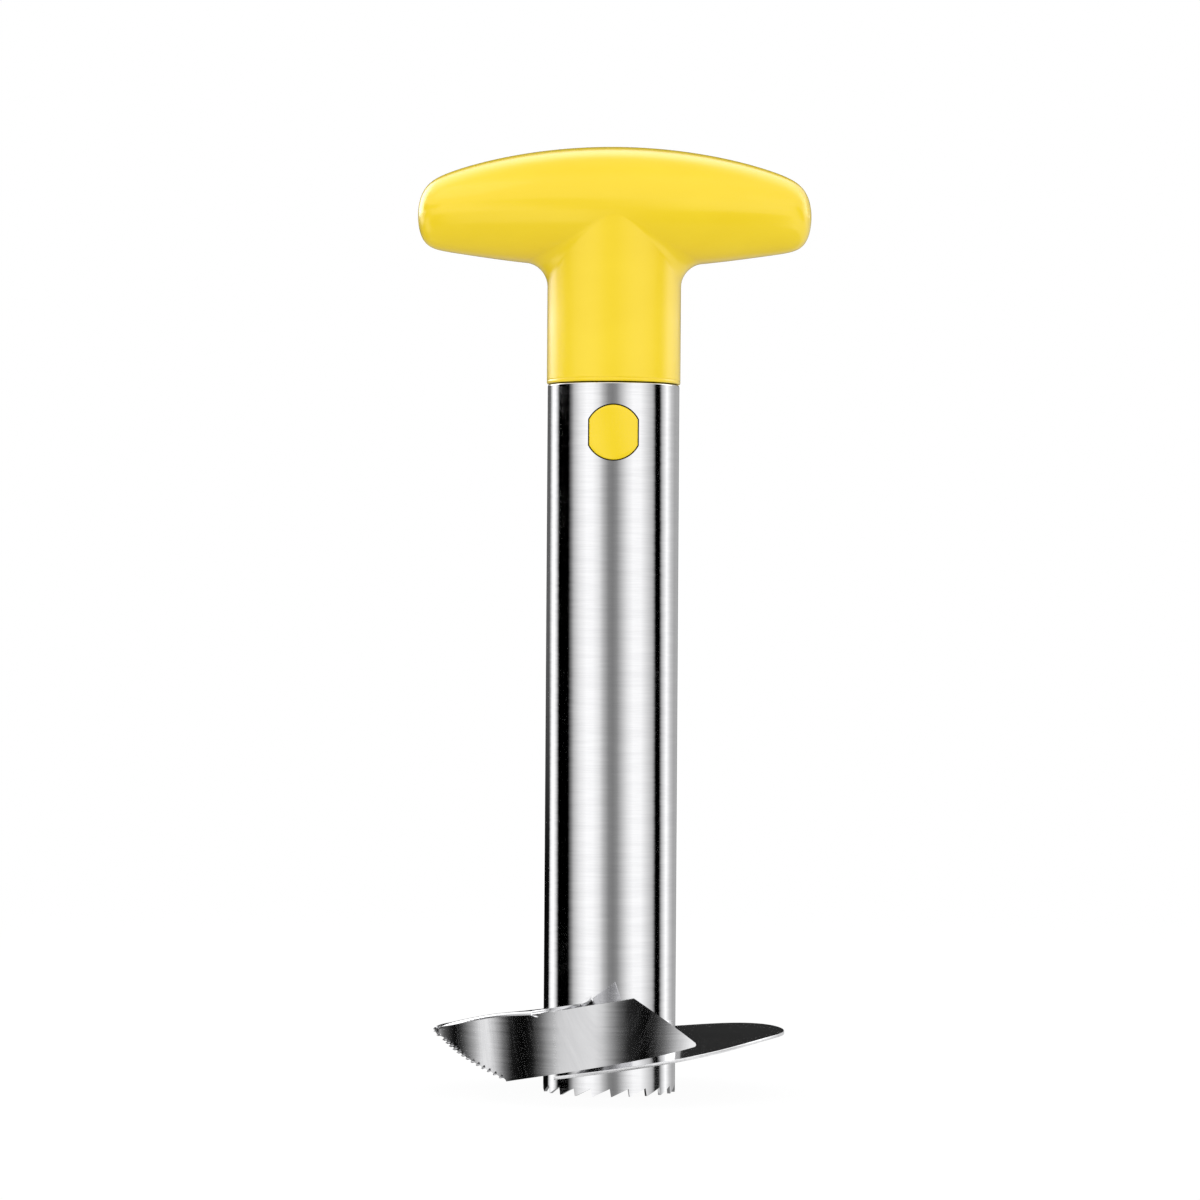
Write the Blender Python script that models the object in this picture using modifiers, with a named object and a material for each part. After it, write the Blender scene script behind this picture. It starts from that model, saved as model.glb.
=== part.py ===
"""Pineapple slicer: a serrated corer tube with a spiral blade and a detachable T handle.

The tube stands on its tooth tips at Z = 0, with its axis on Z. The handle's bar runs along X.
The latch buttons are at the front (-Y) and the rear (+Y). Angles around the tube are in degrees
from the front, growing towards +X. All sizes are in metres.
"""
import math

import bmesh
import bpy
from mathutils import Matrix, Vector

# Corer tube: drawn stainless tube, saw teeth ground into its lower end
TUBE_LENGTH = 0.1793
TUBE_RADIUS = 0.01675
TUBE_WALL = 0.0008
TUBE_EDGE = 0.00025
TOOTH_COUNT = 22
TOOTH_DEPTH = 0.0020
TOOTH_FLAT = 0.0004
FIRST_TOOTH_ANGLE = 2.0

# Slicing ring: one turn of sheet, dipping at the back and bent apart at the front slit. Its raised
# end climbs evenly, then eases off before the lip
BLADE_RADIUS = 0.0444
BLADE_THICKNESS = 0.0008
BLADE_HEIGHT = 0.0158
LOWER_LIP_HEIGHT = 0.0074
LOWER_LIP_ANGLE = -18.0
LOWER_RAMP_ANGLE = 58.5
UPPER_LIP_HEIGHT = 0.0232
UPPER_LIP_ANGLE = -26.0
UPPER_EASE = 0.00065
UPPER_EASE_ANGLE = -36.8
UPPER_RAMP_ANGLE = -85.8
RAMP_BLEND = 0.0015
EASE_BLEND = 0.0006
BACK_DIP = 0.0035

# Peel band: folded down and a little inwards from the upper lip's rim, with both long edges on a
# slant. Its leading edge has a blunt nose under the fold, and is serrated
BAND_STEP = 0.0009
BAND_CLIMB = 9.8
BAND_HEIGHT = 0.0155
BAND_LEAD_TOP_ANGLE = -80.5
BAND_LEAD_LOW_ANGLE = -36.3
BAND_TAIL_TOP_ANGLE = 7.6
BAND_TAIL_LOW_ANGLE = 31.2
BAND_LEAN = 5.0
BAND_CORNER_RADIUS = 0.0008
FOLD_RADIUS = 0.0010
NOSE_ANGLE = 3.5
NOSE_SHARE = 0.115
NOSE_END_SHARE = 0.15
LEAD_SHARE = 0.14
SERRATION_COUNT = 16
SERRATION_DEPTH = 0.0005

# Handle bar: a barrel shape on the X axis, in the middle just thicker than the neck from front to
# back, and flatter than that on top and most of all below
BAR_HALF_LENGTH = 0.0501
BAR_SWELL = 0.0002
TOP_FLATTENING = 0.0008
UNDER_FLATTENING = 0.00285
BAR_END_RADIUS = 0.0075
BAR_END_UNDER = 0.0085
BAR_RISE = 0.0441
BAR_END_DROP = 0.0012
BAR_END_POWER = 28
BAR_DROP_POWER = 6
HANDLE_WALL = 0.0026

# Handle neck: a little proud of the tube, filleted into the bar, most at its two sides
NECK_STEP = 0.00025
SIDE_FILLET = 0.0062
FRONT_FILLET = 0.0020
FILLET_SINK = 0.0002
NECK_LIP = 0.0004

# Dowels that align the handle's halves
DOWEL_OFFSET = 0.0300
DOWEL_RADIUS = 0.0013
DOWEL_LENGTH = 0.0025
DOWEL_WALL = 0.0014

# Latch stem: a sleeve clamped in the neck, which reaches into the tube
STEM_DEPTH = 0.0255
STEM_WALL = 0.0021
STEM_FLOOR = 0.0020
STEM_CHAMFER = 0.0006
STEM_TAIL_LENGTH = 0.0200
STEM_SHOULDER_THICKNESS = 0.0030
GROOVE_OFFSET = 0.0060
GROOVE_HEIGHT = 0.0036
GROOVE_RADIUS = 0.0125
KEY_WIDTH = 0.0050
WEB_THICKNESS = 0.0020
WEB_RISE = 0.0100

# Latch buttons: round with two flats, almost flush with the tube
BUTTON_DROP = 0.0126
BUTTON_RADIUS = 0.0069
BUTTON_HALF_WIDTH = 0.0061
BUTTON_PROUD = 0.0004
BUTTON_TRAVEL = 0.0030
FLANGE_MARGIN = 0.0013
FLANGE_THICKNESS = 0.0012
BUTTON_PIN_RADIUS = 0.0018

# Button springs
SPRING_RADIUS = 0.0030
SPRING_WIRE_RADIUS = 0.0003
SPRING_TURNS = 4.5

# Clearances, and the overrun of every cutter
FIT_GAP = 0.0003
OVERRUN = 0.0020

# Mesh fineness
MERGE_DISTANCE = 0.000001
SIDES_PER_TOOTH = 4
BAR_SIDES = 32
BAR_STEPS = 12
NECK_SIDES = 44
FILLET_STEPS = 3
RING_STEP_ANGLE = 4.0
FOLD_STEPS = 3
SMALL_SIDES = 16
ARC_STEPS = 8
SPRING_POINTS_PER_TURN = 10
SMOOTH_ANGLE = 35.0

# Sizes that follow from the ones above
TUBE_BORE = TUBE_RADIUS - TUBE_WALL
TUBE_SIDES = TOOTH_COUNT * SIDES_PER_TOOTH
NECK_BOTTOM = TUBE_LENGTH + FIT_GAP
BAR_AXIS_HEIGHT = NECK_BOTTOM + BAR_RISE
NECK_RADIUS = TUBE_RADIUS + NECK_STEP
NECK_BORE = NECK_RADIUS - HANDLE_WALL
BAR_RADIUS = NECK_RADIUS + BAR_SWELL
BAR_TOP = BAR_RADIUS - TOP_FLATTENING
BAR_UNDER = BAR_RADIUS - UNDER_FLATTENING
STEM_RADIUS = TUBE_BORE - FIT_GAP
STEM_BORE = STEM_RADIUS - STEM_WALL
STEM_BOTTOM = TUBE_LENGTH - STEM_DEPTH
STEM_TAIL_RADIUS = NECK_BORE - FIT_GAP
STEM_TAIL_BORE = GROOVE_RADIUS - STEM_WALL
GROOVE_BOTTOM = NECK_BOTTOM + GROOVE_OFFSET
BUTTON_HEIGHT = TUBE_LENGTH - BUTTON_DROP
FLANGE_RADIUS = BUTTON_RADIUS + FLANGE_MARGIN
FLANGE_FRONT = math.sqrt(STEM_BORE ** 2 - FLANGE_RADIUS ** 2) - FIT_GAP
FLANGE_BACK = FLANGE_FRONT - FLANGE_THICKNESS
WEB_FACE = WEB_THICKNESS / 2
BUTTON_PIN_END = WEB_FACE + BUTTON_TRAVEL + FIT_GAP
RING_INNER_RADIUS = TUBE_RADIUS + FIT_GAP
LOWER_SLOPE = (BLADE_HEIGHT - LOWER_LIP_HEIGHT) / (LOWER_RAMP_ANGLE - LOWER_LIP_ANGLE)
EASE_HEIGHT = UPPER_LIP_HEIGHT - UPPER_EASE
UPPER_SLOPE = (EASE_HEIGHT - BLADE_HEIGHT) / (UPPER_EASE_ANGLE - UPPER_RAMP_ANGLE)
EASE_SLOPE = UPPER_EASE / (UPPER_LIP_ANGLE - UPPER_EASE_ANGLE)
BAND_TOP_HEIGHT = UPPER_LIP_HEIGHT - BAND_STEP
BAND_SLOPE = math.tan(math.radians(BAND_CLIMB)) * math.radians(1) * BLADE_RADIUS

YELLOW = (0.98, 0.72, 0.05, 1.0)
BLACK = (0.05, 0.05, 0.05, 1.0)
STEEL = (0.72, 0.73, 0.74, 1.0)
SPRING_STEEL = (0.55, 0.55, 0.56, 1.0)


def clear_scene():
    for thing in list(bpy.data.objects):
        bpy.data.objects.remove(thing, do_unlink=True)


def new_collection(name):
    collection = bpy.data.collections.new(name)
    bpy.context.scene.collection.children.link(collection)
    return collection


def new_material(name, colour, roughness, metallic):
    material = bpy.data.materials.new(name)
    material.use_nodes = True
    shader = material.node_tree.nodes["Principled BSDF"]
    shader.inputs["Base Color"].default_value = colour
    shader.inputs["Roughness"].default_value = roughness
    shader.inputs["Metallic"].default_value = metallic
    return material


def place(name, mesh, collection):
    item = bpy.data.objects.new(name, mesh)
    collection.objects.link(item)
    return item


def finished(source, name, collection):
    """A plain mesh object made from what the source's modifiers or curve give."""
    bpy.context.view_layer.update()
    evaluated = source.evaluated_get(bpy.context.evaluated_depsgraph_get())
    mesh = bpy.data.meshes.new_from_object(evaluated)
    mesh.transform(source.matrix_world)
    bpy.data.objects.remove(source, do_unlink=True)
    shape = bmesh.new()
    shape.from_mesh(mesh)
    bmesh.ops.remove_doubles(shape, verts=shape.verts, dist=MERGE_DISTANCE)
    shape.to_mesh(mesh)
    shape.free()
    return place(name, mesh, collection)


def from_bmesh(name, shape, collection):
    mesh = bpy.data.meshes.new(name)
    shape.to_mesh(mesh)
    shape.free()
    return place(name, mesh, collection)


def hide_cutter(cutter):
    cutter.hide_render = True
    cutter.display_type = 'WIRE'
    return cutter


def turned(name, profile, sides, collection, along_x=False):
    """Turn a list of (radius, height) points, outer side from top to bottom, around the axis."""
    shape = bmesh.new()
    points = [shape.verts.new((radius, 0, height)) for radius, height in profile]
    for start, end in zip(points, points[1:]):
        shape.edges.new((start, end))
    closed = profile[0][0] > 0
    if closed:
        shape.edges.new((points[-1], points[0]))
    rough = from_bmesh(name + "_profile", shape, collection)
    screw = rough.modifiers.new("Screw", 'SCREW')
    screw.steps = sides
    screw.render_steps = sides
    screw.use_merge_vertices = True
    screw.merge_threshold = MERGE_DISTANCE
    if along_x:
        rough.rotation_euler = (0, math.radians(90), 0)
    return finished(rough, name, collection)


def prism(name, outline, front, back, collection):
    """Extrude an outline of (x, z) points from y = front to y = back."""
    shape = bmesh.new()
    face = shape.faces.new([shape.verts.new((x, front, z)) for x, z in outline])
    side = bmesh.ops.extrude_face_region(shape, geom=[face])
    moved = [item for item in side["geom"] if isinstance(item, bmesh.types.BMVert)]
    bmesh.ops.translate(shape, verts=moved, vec=(0, back - front, 0))
    bmesh.ops.recalc_face_normals(shape, faces=shape.faces)
    return from_bmesh(name, shape, collection)


def block(name, low, high, collection):
    shape = bmesh.new()
    bmesh.ops.create_cube(shape, size=1)
    size = Vector(high) - Vector(low)
    middle = (Vector(high) + Vector(low)) / 2
    bmesh.ops.scale(shape, vec=size, verts=shape.verts)
    bmesh.ops.translate(shape, vec=middle, verts=shape.verts)
    return from_bmesh(name, shape, collection)


def rod(name, radius, start, end, collection, sides=SMALL_SIDES):
    """A closed cylinder from the start point to the end point."""
    start = Vector(start)
    end = Vector(end)
    shape = bmesh.new()
    bmesh.ops.create_cone(shape, cap_ends=True, segments=sides, radius1=radius, radius2=radius,
                          depth=(end - start).length)
    turn = (end - start).to_track_quat('Z', 'Y').to_matrix().to_4x4()
    shape.transform(Matrix.Translation((start + end) / 2) @ turn)
    return from_bmesh(name, shape, collection)


def change(target, cutter, operation):
    """Join, cut or trim the target with another closed solid."""
    step = target.modifiers.new(cutter.name, 'BOOLEAN')
    step.operation = operation
    step.solver = 'MANIFOLD'
    step.object = cutter
    hide_cutter(cutter)


def finish_part(item, colour, roughness, metallic):
    item.data.materials.clear()
    item.data.materials.append(new_material(item.name, colour, roughness, metallic))
    item.data.shade_smooth()
    item.data.set_sharp_from_angle(angle=math.radians(SMOOTH_ANGLE))


def on_cylinder(radius, angle, height):
    turn = math.radians(angle)
    return Vector((radius * math.sin(turn), -radius * math.cos(turn), height))


def mix(start, end, share):
    return start + (end - start) * share


def soft_min(first, second, blend):
    near = max(blend - abs(first - second), 0) / blend
    return min(first, second) - near * near * blend / 4


def double_d(radius, half_width):
    """Outline of a round with a flat on each side, centred on the buttons' axis."""
    corner = math.acos(half_width / radius)
    outline = []
    for centre in (0, math.pi):
        for step in range(ARC_STEPS + 1):
            turn = centre + mix(corner, math.pi - corner, step / ARC_STEPS)
            outline.append((radius * math.cos(turn), BUTTON_HEIGHT + radius * math.sin(turn)))
    return outline


def build_tube(parts, cutters):
    """Corer tube, with its ground teeth and the two holes that the buttons catch in."""
    profile = [(TUBE_RADIUS - TUBE_EDGE, TUBE_LENGTH), (TUBE_RADIUS, TUBE_LENGTH - TUBE_EDGE),
               (TUBE_RADIUS, 0), (TUBE_BORE, 0), (TUBE_BORE, TUBE_LENGTH)]
    tube = turned("corer_tube", profile, TUBE_SIDES, parts)
    change(tube, build_gullets(cutters), 'DIFFERENCE')
    outline = double_d(BUTTON_RADIUS + FIT_GAP, BUTTON_HALF_WIDTH + FIT_GAP)
    reach = TUBE_RADIUS + OVERRUN
    change(tube, prism("button_hole_cutter", outline, -reach, reach, cutters), 'DIFFERENCE')
    finish_part(tube, STEEL, 0.25, 1.0)


def build_gullets(cutters):
    """The gaps between saw teeth: steep on one side of each tip, sloping on the other."""
    pitch = math.tau * TUBE_RADIUS / TOOTH_COUNT
    left = (TOOTH_FLAT - pitch) / 2
    right = (pitch - TOOTH_FLAT) / 2
    outline = [(left, -OVERRUN), (right, -OVERRUN), (right, TOOTH_DEPTH), (left, 0)]
    gullets = bmesh.new()
    for tooth in range(TOOTH_COUNT):
        wedge = prism("gullet", outline, -TUBE_RADIUS - OVERRUN, -TUBE_BORE + OVERRUN, cutters)
        angle = FIRST_TOOTH_ANGLE + 360 * (tooth + 0.5) / TOOTH_COUNT
        wedge.data.transform(Matrix.Rotation(math.radians(angle), 4, 'Z'))
        gullets.from_mesh(wedge.data)
        bpy.data.objects.remove(wedge, do_unlink=True)
    return from_bmesh("gullet_cutter", gullets, cutters)


def ring_height(angle):
    """Height of the slicing ring's top face, from the lower lip round to the upper lip."""
    lower = LOWER_LIP_HEIGHT + LOWER_SLOPE * (angle - LOWER_LIP_ANGLE)
    upper = upper_climb(angle - 360)
    flat_or_lower = soft_min(BLADE_HEIGHT, lower, RAMP_BLEND)
    dip = BACK_DIP * max(0.0, -math.cos(math.radians(angle))) ** 4
    return -soft_min(-flat_or_lower, -upper, RAMP_BLEND) - dip


def upper_climb(angle):
    """The climb of the ring's raised end, which eases off before the upper lip."""
    past = angle - UPPER_EASE_ANGLE
    return EASE_HEIGHT + soft_min(UPPER_SLOPE * past, EASE_SLOPE * past, EASE_BLEND)


def band_line(angle):
    """The slant of the band's free top edge, which its low edge follows."""
    return BAND_TOP_HEIGHT + BAND_SLOPE * (angle - UPPER_LIP_ANGLE)


def even_steps(start, end):
    """Angles from start up to, not including, end, about one ring step apart."""
    count = max(1, round((end - start) / RING_STEP_ANGLE))
    return [mix(start, end, step / count) for step in range(count)]


def corner_pull(inside):
    """How far the tail's round lower corner stops short of its point, that far above the edge."""
    run = math.radians(BAND_TAIL_LOW_ANGLE - BAND_TAIL_TOP_ANGLE) * BLADE_RADIUS
    climb = band_line(BAND_TAIL_LOW_ANGLE) - band_line(BAND_TAIL_TOP_ANGLE)
    corner = math.atan2(BAND_HEIGHT - climb, run) + math.atan2(climb, run)
    if inside >= BAND_CORNER_RADIUS * (1 + math.cos(corner)):
        return 0
    chord = math.sqrt(BAND_CORNER_RADIUS ** 2 - (BAND_CORNER_RADIUS - inside) ** 2)
    return BAND_CORNER_RADIUS / math.tan(corner / 2) - chord - inside / math.tan(corner)


def lead_shift(share):
    """Degrees by which the leading edge leaves its straight line, back for the nose, then on."""
    nose = min(1, max(0, (NOSE_END_SHARE - share) / (NOSE_END_SHARE - NOSE_SHARE)))
    back = (BAND_LEAD_TOP_ANGLE - BAND_LEAD_LOW_ANGLE) * share
    return mix(NOSE_ANGLE * (1 - share), back, nose)


def band_column(top_angle, folded):
    """Points down the peel band along one slanted line, from its top edge to its low edge."""
    along = (top_angle - BAND_LEAD_TOP_ANGLE) / (BAND_TAIL_TOP_ANGLE - BAND_LEAD_TOP_ANGLE)
    low_angle = mix(BAND_LEAD_LOW_ANGLE, BAND_TAIL_LOW_ANGLE, along)
    top = ring_height(top_angle + 360) - FOLD_RADIUS if folded else band_line(top_angle)
    low = band_line(low_angle) - BAND_HEIGHT
    leading = max(0, 1 - along / LEAD_SHARE)
    draw_in = BAND_HEIGHT * math.tan(math.radians(BAND_LEAN))
    edge_run = math.radians(BAND_LEAD_LOW_ANGLE - BAND_LEAD_TOP_ANGLE) * BLADE_RADIUS
    edge_slope = math.atan2(top - low, edge_run)
    rows = 2 * SERRATION_COUNT
    points = []
    for row in range(rows + 1):
        share = row / rows
        hollow = SERRATION_DEPTH if along <= 0 and row % 2 == 1 else 0
        angle = mix(top_angle, low_angle, share) + lead_shift(share) * leading
        angle += math.degrees(hollow * math.sin(edge_slope) / BLADE_RADIUS)
        if not folded:
            pull = corner_pull(BAND_HEIGHT * (1 - share)) / BLADE_RADIUS
            past_fold = (top_angle - UPPER_LIP_ANGLE) / (BAND_TAIL_TOP_ANGLE - UPPER_LIP_ANGLE)
            angle -= math.degrees(pull) * past_fold ** 2
        height = mix(top, low, share) + hollow * math.cos(edge_slope)
        points.append(on_cylinder(BLADE_RADIUS - draw_in * share, angle, height))
    return points


def ring_column(angle):
    """Points across the slicing ring at one angle, from the tube out to the rim's shoulder."""
    height = ring_height(angle)
    shoulder = BLADE_RADIUS - FOLD_RADIUS
    return [on_cylinder(RING_INNER_RADIUS, angle, height), on_cylinder(shoulder, angle, height)]


def fold_column(angle):
    """Points across the ring, round the fold and down the band."""
    points = ring_column(angle)
    height = ring_height(angle)
    for step in range(1, FOLD_STEPS):
        turn = math.radians(90) * step / FOLD_STEPS
        radius = BLADE_RADIUS - FOLD_RADIUS * (1 - math.sin(turn))
        points.append(on_cylinder(radius, angle, height - FOLD_RADIUS * (1 - math.cos(turn))))
    return points + band_column(angle - 360, True)


def join_columns(shape, left, right):
    for row in range(len(left) - 1):
        shape.faces.new((left[row], left[row + 1], right[row + 1], right[row]))


def build_blade(parts):
    """Slicing ring and peel band as one open sheet, lofted column by column, then thickened."""
    fold_start = BAND_LEAD_TOP_ANGLE + 360
    fold_end = UPPER_LIP_ANGLE + 360
    shape = bmesh.new()
    flat = []
    for angle in even_steps(LOWER_LIP_ANGLE, fold_start):
        rim = on_cylinder(BLADE_RADIUS, angle, ring_height(angle))
        flat.append([shape.verts.new(point) for point in ring_column(angle) + [rim]])
    folded = []
    for angle in even_steps(fold_start, fold_end) + [fold_end]:
        folded.append([shape.verts.new(point) for point in fold_column(angle)])
    tongue = [folded[-1][FOLD_STEPS + 1:]]
    for angle in even_steps(UPPER_LIP_ANGLE, BAND_TAIL_TOP_ANGLE)[1:] + [BAND_TAIL_TOP_ANGLE]:
        tongue.append([shape.verts.new(point) for point in band_column(angle, False)])
    for columns in (flat, folded, tongue):
        for left, right in zip(columns, columns[1:]):
            join_columns(shape, left, right)
    join_columns(shape, flat[-1][:2], folded[0][:2])
    fan = folded[0][1:FOLD_STEPS + 2]
    shape.faces.new([flat[-1][1], flat[-1][2]] + list(reversed(fan)))
    blade = from_bmesh("spiral_blade", shape, parts)
    solid = blade.modifiers.new("Thickness", 'SOLIDIFY')
    solid.thickness = BLADE_THICKNESS
    solid.offset = -1
    solid.use_even_offset = True
    finish_part(blade, STEEL, 0.25, 1.0)


def barrel_radius(share):
    """Radius of the bar from front to back, at a share of its half length from the middle."""
    return mix(BAR_RADIUS, BAR_END_RADIUS, share ** 2)


def bar_top(share):
    """Height of the bar's top above its axis."""
    return mix(BAR_TOP, BAR_END_RADIUS, share ** 2)


def bar_under(share):
    """Depth of the bar's underside below its axis."""
    return mix(BAR_UNDER, BAR_END_UNDER, share ** 2)


def bar_profile(inset):
    """Half outline of the bar, from one end to the other, drawn in by the inset."""
    half = BAR_HALF_LENGTH - inset
    profile = []
    for step in range(-BAR_STEPS, BAR_STEPS + 1):
        share = math.sin(math.radians(90) * step / BAR_STEPS)
        round_off = math.sqrt(1 - abs(share) ** BAR_END_POWER)
        profile.append(((barrel_radius(share) - inset) * round_off, -half * share))
    profile[0] = (0, half)
    profile[-1] = (0, -half)
    return profile


def build_bar(name, inset, cutters):
    """The bar, flattened above and below, with its ends drooping a little below its axis."""
    bar = turned(name, bar_profile(inset), BAR_SIDES, cutters, along_x=True)
    for vertex in bar.data.vertices:
        share = min(1.0, abs(vertex.co.x) / (BAR_HALF_LENGTH - inset))
        reach = bar_top(share) if vertex.co.z > 0 else bar_under(share)
        vertex.co.z *= (reach - inset) / (barrel_radius(share) - inset)
        drop = BAR_END_DROP * (abs(vertex.co.x) / BAR_HALF_LENGTH) ** BAR_DROP_POWER
        vertex.co.z += BAR_AXIS_HEIGHT - drop
    return hide_cutter(bar)


def fillet_points(turn):
    """Points up a fillet rolled into the corner of neck and bar, at one angle from the front."""
    fillet = mix(FRONT_FILLET, SIDE_FILLET, math.sin(turn) ** 2)
    across = (NECK_RADIUS + fillet) * math.sin(turn)
    along = -(NECK_RADIUS + fillet) * math.cos(turn)
    share = across / BAR_HALF_LENGTH
    reach = barrel_radius(share) + fillet
    depth = bar_under(share) + fillet
    fall = depth * math.sqrt(max(0, 1 - (along / reach) ** 2))
    centre = Vector((across, along, BAR_AXIS_HEIGHT - fall))
    to_neck = Vector((-math.sin(turn), math.cos(turn), 0))
    to_bar = Vector((0, -along / reach ** 2, fall / depth ** 2)).normalized()
    points = []
    for step in range(FILLET_STEPS + 1):
        radius = fillet + (FILLET_SINK if step == FILLET_STEPS else 0)
        points.append(centre + radius * to_neck.slerp(to_bar, step / FILLET_STEPS))
    return points


def build_neck(name, cutters):
    """Neck as a loft of rings: lip, straight wall, fillet, and a last ring inside the bar."""
    shape = bmesh.new()
    columns = []
    for side in range(NECK_SIDES):
        turn = math.tau * side / NECK_SIDES
        lip_radius = NECK_RADIUS - NECK_LIP
        points = [Vector((lip_radius * math.sin(turn), -lip_radius * math.cos(turn), NECK_BOTTOM)),
                  Vector((NECK_RADIUS * math.sin(turn), -NECK_RADIUS * math.cos(turn),
                          NECK_BOTTOM + NECK_LIP))]
        points += fillet_points(turn)
        points.append(Vector((NECK_BORE * math.sin(turn), -NECK_BORE * math.cos(turn),
                              BAR_AXIS_HEIGHT)))
        columns.append([shape.verts.new(point) for point in points])
    for left, right in zip(columns, columns[1:] + columns[:1]):
        for row in range(len(left) - 1):
            shape.faces.new((left[row], right[row], right[row + 1], left[row + 1]))
    shape.faces.new([column[0] for column in reversed(columns)])
    shape.faces.new([column[-1] for column in columns])
    return hide_cutter(from_bmesh(name, shape, cutters))


def build_shell(name, side, dowels, parts, cutters):
    """One half of the hollow handle; side is -1 at the front and 1 at the rear."""
    shell = build_neck(name, parts)
    shell.hide_render = False
    shell.display_type = 'TEXTURED'
    change(shell, build_bar(name + "_bar", 0, cutters), 'UNION')
    change(shell, build_bar(name + "_bar_hollow", HANDLE_WALL, cutters), 'DIFFERENCE')
    bore = rod(name + "_neck_hollow", NECK_BORE, (0, 0, NECK_BOTTOM - OVERRUN),
               (0, 0, BAR_AXIS_HEIGHT), cutters, NECK_SIDES)
    change(shell, bore, 'DIFFERENCE')
    change(shell, build_rib(name + "_rib", cutters), 'UNION')
    half_slot = KEY_WIDTH / 2 + FIT_GAP
    slot_end = NECK_BORE + FIT_GAP
    slot = block(name + "_key_slot", (-slot_end, -half_slot, GROOVE_BOTTOM - OVERRUN),
                 (slot_end, half_slot, GROOVE_BOTTOM + GROOVE_HEIGHT + OVERRUN), cutters)
    change(shell, slot, 'DIFFERENCE')
    for place_x in (-DOWEL_OFFSET, DOWEL_OFFSET):
        add_boss(shell, name, side, place_x, cutters)
    reach = BAR_HALF_LENGTH + OVERRUN
    far = block(name + "_other_half", (-reach, min(0, -side * reach), NECK_BOTTOM - OVERRUN),
                (reach, max(0, -side * reach), BAR_AXIS_HEIGHT + reach), cutters)
    change(shell, far, 'DIFFERENCE')
    for place_x in (-DOWEL_OFFSET, DOWEL_OFFSET):
        add_dowel(shell, name, side, dowels, place_x, cutters)
    finish_part(finished(shell, name, parts), YELLOW, 0.35, 0.0)


def side_label(name, place_x):
    return name + ("_left" if place_x < 0 else "_right")


def add_boss(shell, name, side, place_x, cutters):
    """A boss from the shell's wall to past the parting plane, which the other half's cut trims."""
    reach = barrel_radius(place_x / BAR_HALF_LENGTH) - HANDLE_WALL / 2
    root = (place_x, side * reach, BAR_AXIS_HEIGHT)
    end = (place_x, -side * OVERRUN, BAR_AXIS_HEIGHT)
    boss = rod(side_label(name, place_x) + "_boss", DOWEL_RADIUS + FIT_GAP + DOWEL_WALL, root, end,
               cutters)
    change(shell, boss, 'UNION')


def add_dowel(shell, name, side, dowel, place_x, cutters):
    """A dowel that stands out of the trimmed boss, or the socket in it for the other's dowel."""
    label = side_label(name, place_x)
    if dowel:
        tip = (place_x, -side * DOWEL_LENGTH, BAR_AXIS_HEIGHT)
        start = (place_x, side * DOWEL_LENGTH, BAR_AXIS_HEIGHT)
        change(shell, rod(label + "_dowel", DOWEL_RADIUS, start, tip, cutters), 'UNION')
    else:
        floor = (place_x, side * (DOWEL_LENGTH + FIT_GAP), BAR_AXIS_HEIGHT)
        mouth = (place_x, -side * OVERRUN, BAR_AXIS_HEIGHT)
        socket = rod(label + "_socket", DOWEL_RADIUS + FIT_GAP, mouth, floor, cutters)
        change(shell, socket, 'DIFFERENCE')


def build_rib(name, cutters):
    """The inner rib that sits in the stem's groove and clamps the stem in the neck."""
    inner = GROOVE_RADIUS + FIT_GAP
    outer = NECK_BORE + HANDLE_WALL / 2
    low = GROOVE_BOTTOM + FIT_GAP
    high = GROOVE_BOTTOM + GROOVE_HEIGHT - FIT_GAP
    profile = [(outer, high), (outer, low), (inner, low), (inner, high)]
    return turned(name, profile, NECK_SIDES, cutters)


def build_stem(parts, cutters):
    """Latch stem: floored sleeve with a grooved tail, two windows and a web for the springs."""
    floor_top = STEM_BOTTOM + STEM_FLOOR
    step_height = TUBE_LENGTH - STEM_SHOULDER_THICKNESS
    tail_top = NECK_BOTTOM + STEM_TAIL_LENGTH
    groove_top = GROOVE_BOTTOM + GROOVE_HEIGHT
    profile = [(0, floor_top), (STEM_BORE, floor_top), (STEM_BORE, step_height),
               (STEM_TAIL_BORE, step_height), (STEM_TAIL_BORE, tail_top),
               (STEM_TAIL_RADIUS, tail_top), (STEM_TAIL_RADIUS, groove_top),
               (GROOVE_RADIUS, groove_top), (GROOVE_RADIUS, GROOVE_BOTTOM),
               (STEM_TAIL_RADIUS, GROOVE_BOTTOM), (STEM_TAIL_RADIUS, TUBE_LENGTH),
               (STEM_RADIUS, TUBE_LENGTH), (STEM_RADIUS, STEM_BOTTOM + STEM_CHAMFER),
               (STEM_RADIUS - STEM_CHAMFER, STEM_BOTTOM), (0, STEM_BOTTOM)]
    stem = turned("latch_stem", profile, NECK_SIDES, parts)
    outline = double_d(BUTTON_RADIUS + FIT_GAP, BUTTON_HALF_WIDTH + FIT_GAP)
    reach = STEM_RADIUS + OVERRUN
    change(stem, prism("window_cutter", outline, -reach, reach, cutters), 'DIFFERENCE')
    web_reach = STEM_BORE + STEM_WALL / 2
    web = block("stem_web", (-web_reach, -WEB_FACE, STEM_BOTTOM + STEM_FLOOR / 2),
                (web_reach, WEB_FACE, BUTTON_HEIGHT + WEB_RISE), cutters)
    change(stem, web, 'UNION')
    for side in (-1, 1):
        key_ends = sorted((side * (GROOVE_RADIUS - STEM_WALL / 2), side * STEM_TAIL_RADIUS))
        key = block("stem_key_%d" % side, (key_ends[0], -KEY_WIDTH / 2, GROOVE_BOTTOM - FIT_GAP),
                    (key_ends[1], KEY_WIDTH / 2, groove_top + FIT_GAP), cutters)
        change(stem, key, 'UNION')
    finish_part(stem, BLACK, 0.5, 0.0)


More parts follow.
